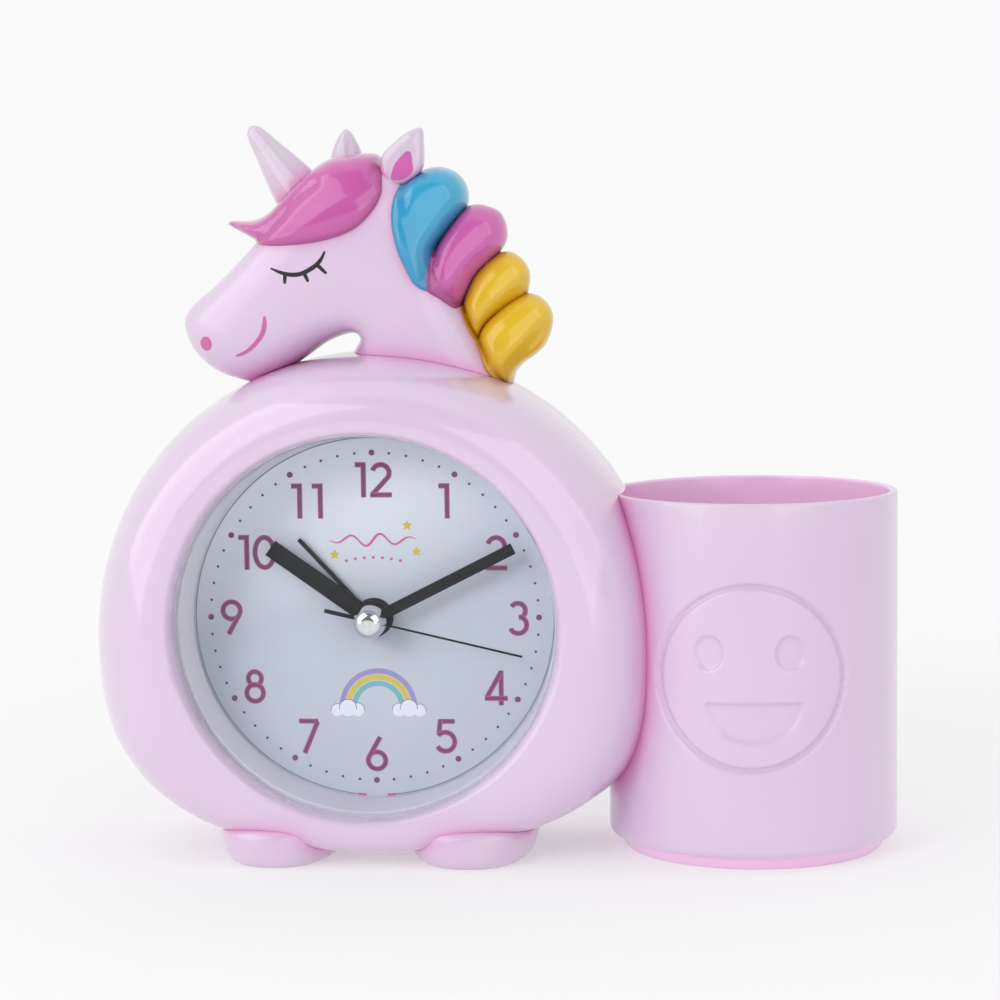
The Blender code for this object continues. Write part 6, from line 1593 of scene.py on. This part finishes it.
def make_hands():
    finish = plastic("Hand paint", colours().hands, ink(14, 14, 16), 0.5, 0.0, 0.0004, 0.01, 0.2)
    for name, (angle, length, width, front, thick, boss) in HAND_ROWS.items():
        half = width / 2
        edge = min(0.00012, width / 5)
        bars = [(half, 0, length)]
        if name == "second":
            bars = [(half, -half, length), (SECOND_TAIL_WIDTH / 2, -SECOND_TAIL_LENGTH, 0)]
        parts = [bar(side, front, front + thick, low, high, edge) for side, low, high in bars]
        blade = spun(join(disc(boss, front, front + thick, finish, 72, edge=0.0001), *parts), math.radians(angle))
        piece(name + "_blade", at_dial(blade), name + "_group", "hand_paint", finish, [name + "_hand"])
    chrome = metal("Chrome plate", (0.76, 0.77, 0.77), 0.04, 0.0008, 0.004)
    rear = HAND_ROWS["second"][3] - SEAT_GAP
    profile = [(0, rear), (CAP_RADIUS - 0.0001, rear), (CAP_RADIUS, rear - 0.0001)]
    for step in reversed(range(CAP_STEPS)):
        share = math.sin(math.pi / 2 * step / CAP_STEPS)
        profile.append((CAP_RADIUS * share, rear - CAP_HEIGHT * (1 - share ** 3) ** (1 / 3)))
    piece("chrome_cap", at_dial(turned_along_y(profile, chrome, 96)), "second_group", "chrome_cap", chrome,
          ["hub_cap"])


# Back of the movement

def make_knobs():
    finish = black_plastic()
    for name, (x, z) in KNOB_PLACES.items():
        front = CASE_REAR + KNOB_LIFT
        rear = front + KNOB_LENGTH
        core = KNOB_RADIUS - 0.0005
        profile = [(0, front), (core, front), *arc(core - KNOB_EDGE, rear - KNOB_EDGE, KNOB_EDGE, 6, 0, 90),
                   (core * 0.55, rear), (core * 0.5, rear - 0.0004), (0, rear - 0.0004)]
        drum = turned_along_y(profile, finish, 120)
        rib = bar(0.00028, front + 0.0003, rear - 0.0009, -0.0006, 0.0005, 0.0001, 2)
        ribs = run_tree("Ring of copies", rib, finish, count=sizes().knob_flutes, radius=core, skip_every=1)
        body = "setting_group" if name == "set_knob" else "alarm_setting_group"
        piece("fluted_" + name, moved(together(drum, ribs), x, 0, DIAL_Z + z), body, "black_plastic", finish, [name])


def make_door():
    finish = black_plastic()
    half = DOOR_THICK / 2
    low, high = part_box("battery_door")
    top, axis_z = high.z, low.z + half
    face = DOOR_AXIS_Y + half
    plate = bar(DOOR_HALF_WIDTH, DOOR_AXIS_Y - half, face, axis_z, top, 0.0003)
    rods = []
    for radius, reach, sides in ((half, DOOR_HALF_WIDTH, 32), (0.0004, (high.x - low.x) / 2, 24)):
        rods.append(moved(spun(rod(radius, -reach, reach, finish, sides), math.pi / 2), 0, DOOR_AXIS_Y, axis_z))
    panel = join(plate, *rods)
    rib = bar(0.006, face - 0.0002, face + 0.00035, -0.0002, 0.0002, 0.00012, 2)
    ribs = run_tree("Row of copies", rib, finish, count=sizes().door_ribs, start=(0, 0, top - 0.0018),
                    step=(0, 0, -0.001))
    piece("ribbed_door", together(panel, ribs), "door_group", "black_plastic", finish, ["battery_door"])


def make_battery():
    low, high = [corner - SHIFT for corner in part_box("battery")]
    radius, left, right = (high.z - low.z) / 2, low.x, high.x - 0.0013
    nub = 0.00275
    wrap = plastic("Battery wrap", ink(70, 82, 112), ink(40, 46, 66), 0.25, 0.3, 0.0006, 0.05)
    sleeve = ((radius * 0.8, left + 0.0002), (radius - 0.0003, left), (radius, left + 0.0004),
              (radius, right - 0.0006), (radius - 0.0004, right), (radius * 0.8, right - 0.0001))
    can = ((0, left + 0.0003), (radius * 0.79, left + 0.0003), (radius * 0.79, right - 0.0003),
           (nub + 0.0003, right - 0.0001), (nub, right + 0.0002), (nub, high.x - 0.0003), (nub - 0.0003, high.x),
           (0, high.x))
    for name, profile, slot, finish, nodes in (("battery_sleeve", sleeve, "battery_wrap", wrap, ["battery"]),
                                               ("battery_can", can, "steel", steel(), ())):
        solid = moved(spun(turned(profile, finish, 64), math.pi / 2), 0, (low.y + high.y) / 2, (low.z + high.z) / 2)
        piece(name, solid, "clock", slot, finish, nodes)


def make_switch():
    finish = plastic("Switch plastic", ink(214, 118, 168), None, 0.35, 0.1)
    low, high = [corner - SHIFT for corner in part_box("alarm_switch")]
    x, z = SWITCH_PLACE
    z += DIAL_Z
    front = CASE_REAR + SEAT_GAP
    cap = bevelled(block((low.x, front, z - 0.00225), (high.x, high.y - 0.0003, z + 0.00225)), 0.0003)
    stem = block((x - 0.0015, low.y, z - 0.0012), (x + 0.0015, front + 0.0007, z + 0.0012))
    ridge = bar(0.00022, high.y - 0.0006, high.y, -0.0016, 0.0016, 0.0001, 2)
    ridges = run_tree("Row of copies", ridge, finish, count=5, start=(x - 0.0018, 0, z), step=(0.0009, 0, 0))
    tab = block((low.x, low.y, z - 0.0012), (high.x, low.y + 0.0006, z + 0.0015))
    piece("slide_switch", together(join(cap, stem, tab), ridges), "switch_group", "switch_plastic", finish,
          ["alarm_switch"])


def make_case_relief():
    """Raised rings round the knobs and a frame round the switch, on the rear case."""
    finish = black_plastic()
    parts = []
    for x, z in KNOB_PLACES.values():
        inner, outer = KNOB_RADIUS + 0.0008, KNOB_RADIUS + 0.0013
        low, high = CASE_REAR - CASE_RELIEF, CASE_REAR + CASE_RELIEF
        profile = ((inner, low), (outer, low), (outer, high), (inner, high))
        parts.append(turned_along_y(profile, finish, 96, (x, DIAL_Z + z)))
    x, z = SWITCH_PLACE
    line = [(x + 0.002 + across, DIAL_Z + z + up) for across, up in rounded_box(0.0064, 0.0034, 0.0008)]
    parts.append(ribbon(line, 0.0004, lambda x, z: CASE_REAR, CASE_RELIEF, CASE_RELIEF, True))
    bm = together(*parts)
    for vert in bm.verts:
        if vert.co.y < CASE_REAR - 0.95 * CASE_RELIEF:
            vert.co.y = CASE_REAR + CASE_RELIEF
    piece("case_relief", bm, "clock", "black_plastic", finish)


# The kept solids of the inside

def finish_inside():
    nylon = plastic("White nylon", ink(226, 226, 220), ink(196, 196, 186), 0.42, 0.0, 0.0003, 0.12)
    brass = metal("Brass", (0.72, 0.52, 0.24), 0.3)
    copper = metal("Copper winding", (0.62, 0.27, 0.12), 0.34, 0.00012, 0.6)
    ferrite = plastic("Magnet ferrite", ink(92, 92, 96), None, 0.55, 0.0, 0.0002, 0.3)
    board = plastic("Circuit laminate", ink(36, 108, 66), ink(22, 70, 44), 0.4, 0.1, 0.0008, 0.12)
    rows = {
        black_plastic(): ("movement_case_front", "movement_case_rear"),
        nylon: ("middle_plate", "hour_wheel", "alarm_wheel", "minute_wheel", "alarm_pinion", "second_wheel",
                "third_wheel", "centre_wheel", "intermediate_wheel"),
        steel(): ("stator", "contact_negative", "contact_positive", "cup_screw_lower", "cup_screw_upper"),
        brass: ("centre_pipe", "buzzer"),
        copper: ("coil",),
        ferrite: ("rotor",),
        board: ("circuit_board",),
    }
    for finish, names in rows.items():
        for name in names:
            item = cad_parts[name]
            item.data.materials.clear()
            item.data.materials.append(finish)


# Painted shade, a deeper colour near the joints between pieces: piece, reach, strength, the pieces beside it

NEAR_REACHES = 4
NEIGHBOURS = (
    ("shell_front", 0.0024, 0.9, ("cup",)), ("shell_front", 0.0016, 0.5, ("paw_left", "paw_right")),
    ("shell_front", 0.0022, 0.7, ("horse_head_front",)),
    ("shell_rear", 0.0035, 1.0, ("cup",)), ("shell_rear", 0.002, 0.7, ("paw_left", "paw_right", "horse_head_rear")),
    ("cup", 0.0026, 0.75, ("shell_front", "shell_rear")),
    ("horse_head_front", 0.0018, 0.6, ("shell_front",)),
    ("horse_head_front", 0.0008, 0.4, ("hair_forelock", "hair_mane_blue", "hair_mane_magenta",
                                       "hair_mane_yellow_upper", "hair_mane_yellow_lower")),
    ("horse_head_rear", 0.0018, 0.8, ("shell_rear",)),
    ("paw_left", 0.0014, 0.5, ("shell_front",)), ("paw_right", 0.0014, 0.5, ("shell_front",)),
    ("hair_mane_blue", 0.0012, 0.9, ("hair_mane_magenta", "horse_head_front", "pale_ear_near")),
    ("hair_mane_magenta", 0.0012, 0.9, ("hair_mane_blue", "hair_mane_yellow_upper", "horse_head_front")),
    ("hair_mane_yellow_upper", 0.0012, 0.9, ("hair_mane_magenta", "hair_mane_yellow_lower", "horse_head_front")),
    ("hair_mane_yellow_lower", 0.0012, 0.9, ("hair_mane_yellow_upper", "shell_front", "horse_head_front")),
    ("hair_forelock", 0.0012, 0.7, ("horse_head_front", "pale_horn", "pale_ear_far")),
    ("pale_horn", 0.0015, 0.8, ("hair_forelock",)),
    ("pale_ear_near", 0.0015, 0.8, ("hair_forelock", "hair_mane_blue")),
)


def surface_tree(name):
    """A search tree over a finished piece."""
    mesh = bpy.data.objects[name].data
    return BVHTree.FromPolygons([vert.co for vert in mesh.vertices], [tuple(face.vertices) for face in mesh.polygons])


def shade_joints():
    """Paint shade at the joints: write each vertex's nearness to the neighbouring pieces in the near attribute, which
    mixes in the deeper colour.
    """
    trees = {}
    for name, reach, strength, others in NEIGHBOURS:
        mesh = bpy.data.objects[name].data
        layer = mesh.attributes.get("near") or mesh.attributes.new("near", 'FLOAT', 'POINT')
        values = np.zeros(len(mesh.vertices), np.float32)
        layer.data.foreach_get("value", values)
        for other in others:
            if other not in trees:
                trees[other] = surface_tree(other)
            for i, vert in enumerate(mesh.vertices):
                distance = trees[other].find_nearest(vert.co, reach * NEAR_REACHES)[3]
                if distance is not None:
                    values[i] = max(values[i], strength * math.exp(-max(0.0, distance - SEAT_GAP) / reach))
        layer.data.foreach_set("value", values)


# Stage

def look_matrix():
    """The camera's turn, from the photograph's azimuth, elevation and roll."""
    azimuth, elevation, roll = (math.radians(angle) for angle in CAMERA_TURNS)
    back = Vector((math.sin(azimuth) * math.cos(elevation), -math.cos(azimuth) * math.cos(elevation),
                   math.sin(elevation)))
    right = Vector((math.cos(azimuth), math.sin(azimuth), 0))
    up = back.cross(right)
    across = right * math.cos(roll) - up * math.sin(roll)
    rise = right * math.sin(roll) + up * math.cos(roll)
    return Matrix((across, rise, back)).transposed()


def softbox(name, place, aim, size, strength, reflected):
    """A soft lamp, its sides square with the line of view, that either lights the pieces or shows in them."""
    lamp = bpy.data.lights.new(name, 'AREA')
    lamp.shape = 'RECTANGLE'
    lamp.size, lamp.size_y = size
    lamp.energy = strength
    item = bpy.data.objects.new(name, lamp)
    item.location = place
    item.visible_diffuse = not reflected
    item.visible_glossy = reflected
    away = (Vector(place) - Vector(aim)).normalized()
    side = Vector((0, -1, 0)).cross(away).normalized()
    item.rotation_euler = Matrix((side, away.cross(side), away)).transposed().to_euler()
    bpy.context.scene.collection.objects.link(item)


def stage_finish():
    """A pale matt floor that fades into the white behind it."""
    material, tree, shader = new_finish("Pale floor")
    place = object_place(tree)
    pale = grey(tree, between(tree, noise(tree, place, 30.0), 0.975, 0.99))
    fill(tree, shader, {"Roughness": 0.9, "Specular IOR Level": 0.0, "Base Color": pale})
    x, y, _ = split(tree, place)
    near, far = FLOOR_FADE
    spread = {"Value": axis_distance(tree, x, y), "From Min": near, "From Max": far, "To Min": 0.4}
    fade = output(tree, "ShaderNodeMapRange", spread, interpolation_type='SMOOTHSTEP')
    return let_through(material, shader, fade)


def make_stage():
    scene = bpy.context.scene
    scene.view_settings.view_transform = 'Standard'
    bm = bmesh.new()
    bmesh.ops.create_circle(bm, cap_ends=True, segments=64, radius=FLOOR_RADIUS)
    mesh = bpy.data.meshes.new("floor")
    bm.to_mesh(mesh)
    bm.free()
    mesh.materials.append(stage_finish())
    floor = bpy.data.objects.new("floor", mesh)
    scene.collection.objects.link(floor)

    world = bpy.data.worlds.new("Studio")
    scene.world = world
    world.use_nodes = True
    tree = world.node_tree
    path = tree.nodes.new("ShaderNodeLightPath")
    seen = reckon(tree, 'MAXIMUM', path.outputs["Is Camera Ray"], path.outputs["Is Transmission Ray"])
    plain = reckon(tree, 'ADD', reckon(tree, 'MULTIPLY', seen, ROOM_SEEN - ROOM_LIGHT), ROOM_LIGHT)
    # the dim room behind the camera shows only in glossy pieces
    _, y, z = split(tree, add_node(tree, "ShaderNodeTexCoord").outputs["Generated"])
    above = output(tree, "ShaderNodeMapRange", {"Value": z, "From Max": 0.06, "To Max": 0.8})
    dim = reckon(tree, 'MULTIPLY', above, reaching(tree, y, -0.2, -0.5))
    dim = reckon(tree, 'MULTIPLY', dim, path.outputs["Is Glossy Ray"])
    plain = reckon(tree, 'MULTIPLY', plain, reckon(tree, 'SUBTRACT', 1.0, dim))
    fill(tree, tree.nodes["Background"], {"Color": (1, 1, 1, 1), "Strength": plain})

    for lamp in LAMPS:
        softbox(*lamp)

    lens = bpy.data.cameras.new("camera")
    lens.sensor_width = 36
    lens.lens = CAMERA_FOCUS
    lens.clip_start = 0.01
    item = bpy.data.objects.new("camera", lens)
    item.matrix_world = Matrix.Translation(CAMERA_PLACE) @ look_matrix().to_4x4()
    scene.collection.objects.link(item)
    scene.camera = item


# Operators, panel and registration

class CLOCK_OT_shells(bpy.types.Operator):
    """Make the two body shells and their screws"""
    bl_idname = "clock.shells"
    bl_label = "Body shells"

    def execute(self, context):
        make_front_shell()
        make_rear_shell()
        make_screws()
        return {'FINISHED'}


class CLOCK_OT_cup(bpy.types.Operator):
    """Make the pen cup with its smiling face"""
    bl_idname = "clock.cup"
    bl_label = "Pen cup"

    def execute(self, context):
        make_cup()
        return {'FINISHED'}


class CLOCK_OT_feet(bpy.types.Operator):
    """Make the two feet"""
    bl_idname = "clock.feet"
    bl_label = "Feet"

    def execute(self, context):
        make_feet()
        return {'FINISHED'}


class CLOCK_OT_head(bpy.types.Operator):
    """Make the horse's head in two halves"""
    bl_idname = "clock.head"
    bl_label = "Head"

    def execute(self, context):
        make_head()
        return {'FINISHED'}


class CLOCK_OT_hair(bpy.types.Operator):
    """Make the mane, the forelock, the ears and the horn"""
    bl_idname = "clock.hair"
    bl_label = "Mane, ears and horn"

    def execute(self, context):
        make_mane()
        make_ears_and_horn()
        make_head_paint()
        return {'FINISHED'}


class CLOCK_OT_dial(bpy.types.Operator):
    """Make the lens, the recess wall, the dial and its print"""
    bl_idname = "clock.dial"
    bl_label = "Lens and dial"

    def execute(self, context):
        make_lens_and_recess()
        make_dial()
        make_print()
        make_motifs()
        return {'FINISHED'}


class CLOCK_OT_hands(bpy.types.Operator):
    """Make the four hands and the chrome cap"""
    bl_idname = "clock.hands"
    bl_label = "Hands"

    def execute(self, context):
        make_hands()
        return {'FINISHED'}


class CLOCK_OT_back(bpy.types.Operator):
    """Make the knobs, the battery, its door and the switch"""
    bl_idname = "clock.back"
    bl_label = "Back of the movement"

    def execute(self, context):
        make_knobs()
        make_battery()
        make_door()
        make_switch()
        make_case_relief()
        return {'FINISHED'}


class CLOCK_OT_inside(bpy.types.Operator):
    """Give the kept solids of the inside their finishes"""
    bl_idname = "clock.inside"
    bl_label = "Inside"

    def execute(self, context):
        finish_inside()
        return {'FINISHED'}


class CLOCK_OT_joints(bpy.types.Operator):
    """Paint shade into the plastics' colour where pieces meet"""
    bl_idname = "clock.joints"
    bl_label = "Joint shades"

    def execute(self, context):
        shade_joints()
        return {'FINISHED'}


class CLOCK_OT_stage(bpy.types.Operator):
    """Make the floor, the lamps and the camera"""
    bl_idname = "clock.stage"
    bl_label = "Stage"

    def execute(self, context):
        make_stage()
        return {'FINISHED'}


STEPS = (CLOCK_OT_stage, CLOCK_OT_shells, CLOCK_OT_cup, CLOCK_OT_feet, CLOCK_OT_head, CLOCK_OT_hair, CLOCK_OT_dial,
         CLOCK_OT_hands, CLOCK_OT_back, CLOCK_OT_inside, CLOCK_OT_joints)


class CLOCK_PT_panel(bpy.types.Panel):
    """Lists the clock's pieces, sizes and colours"""
    bl_idname = "CLOCK_PT_panel"
    bl_label = "Pen holder clock"
    bl_space_type = 'VIEW_3D'
    bl_region_type = 'UI'
    bl_category = "Clock"

    def draw(self, context):
        for step in STEPS:
            self.layout.operator(step.bl_idname)
        for group in (context.scene.clock_sizes, context.scene.clock_colours):
            box = self.layout.box()
            for key in group.__annotations__:
                box.prop(group, key)


CLASSES = (ClockColours, ClockSizes, *STEPS, CLOCK_PT_panel)


def register():
    for item in CLASSES:
        bpy.utils.register_class(item)
    bpy.types.Scene.clock_colours = PointerProperty(type=ClockColours)
    bpy.types.Scene.clock_sizes = PointerProperty(type=ClockSizes)


def unregister():
    del bpy.types.Scene.clock_sizes
    del bpy.types.Scene.clock_colours
    for item in reversed(CLASSES):
        bpy.utils.unregister_class(item)


def main():
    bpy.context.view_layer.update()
    register()
    bpy.ops.clock.stage()
    bpy.ops.clock.shells()
    bpy.ops.clock.cup()
    bpy.ops.clock.feet()
    bpy.ops.clock.head()
    bpy.ops.clock.hair()
    bpy.ops.clock.dial()
    bpy.ops.clock.hands()
    bpy.ops.clock.back()
    bpy.ops.clock.inside()
    bpy.ops.clock.joints()
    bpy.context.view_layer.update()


if __name__ == "__main__":
    main()
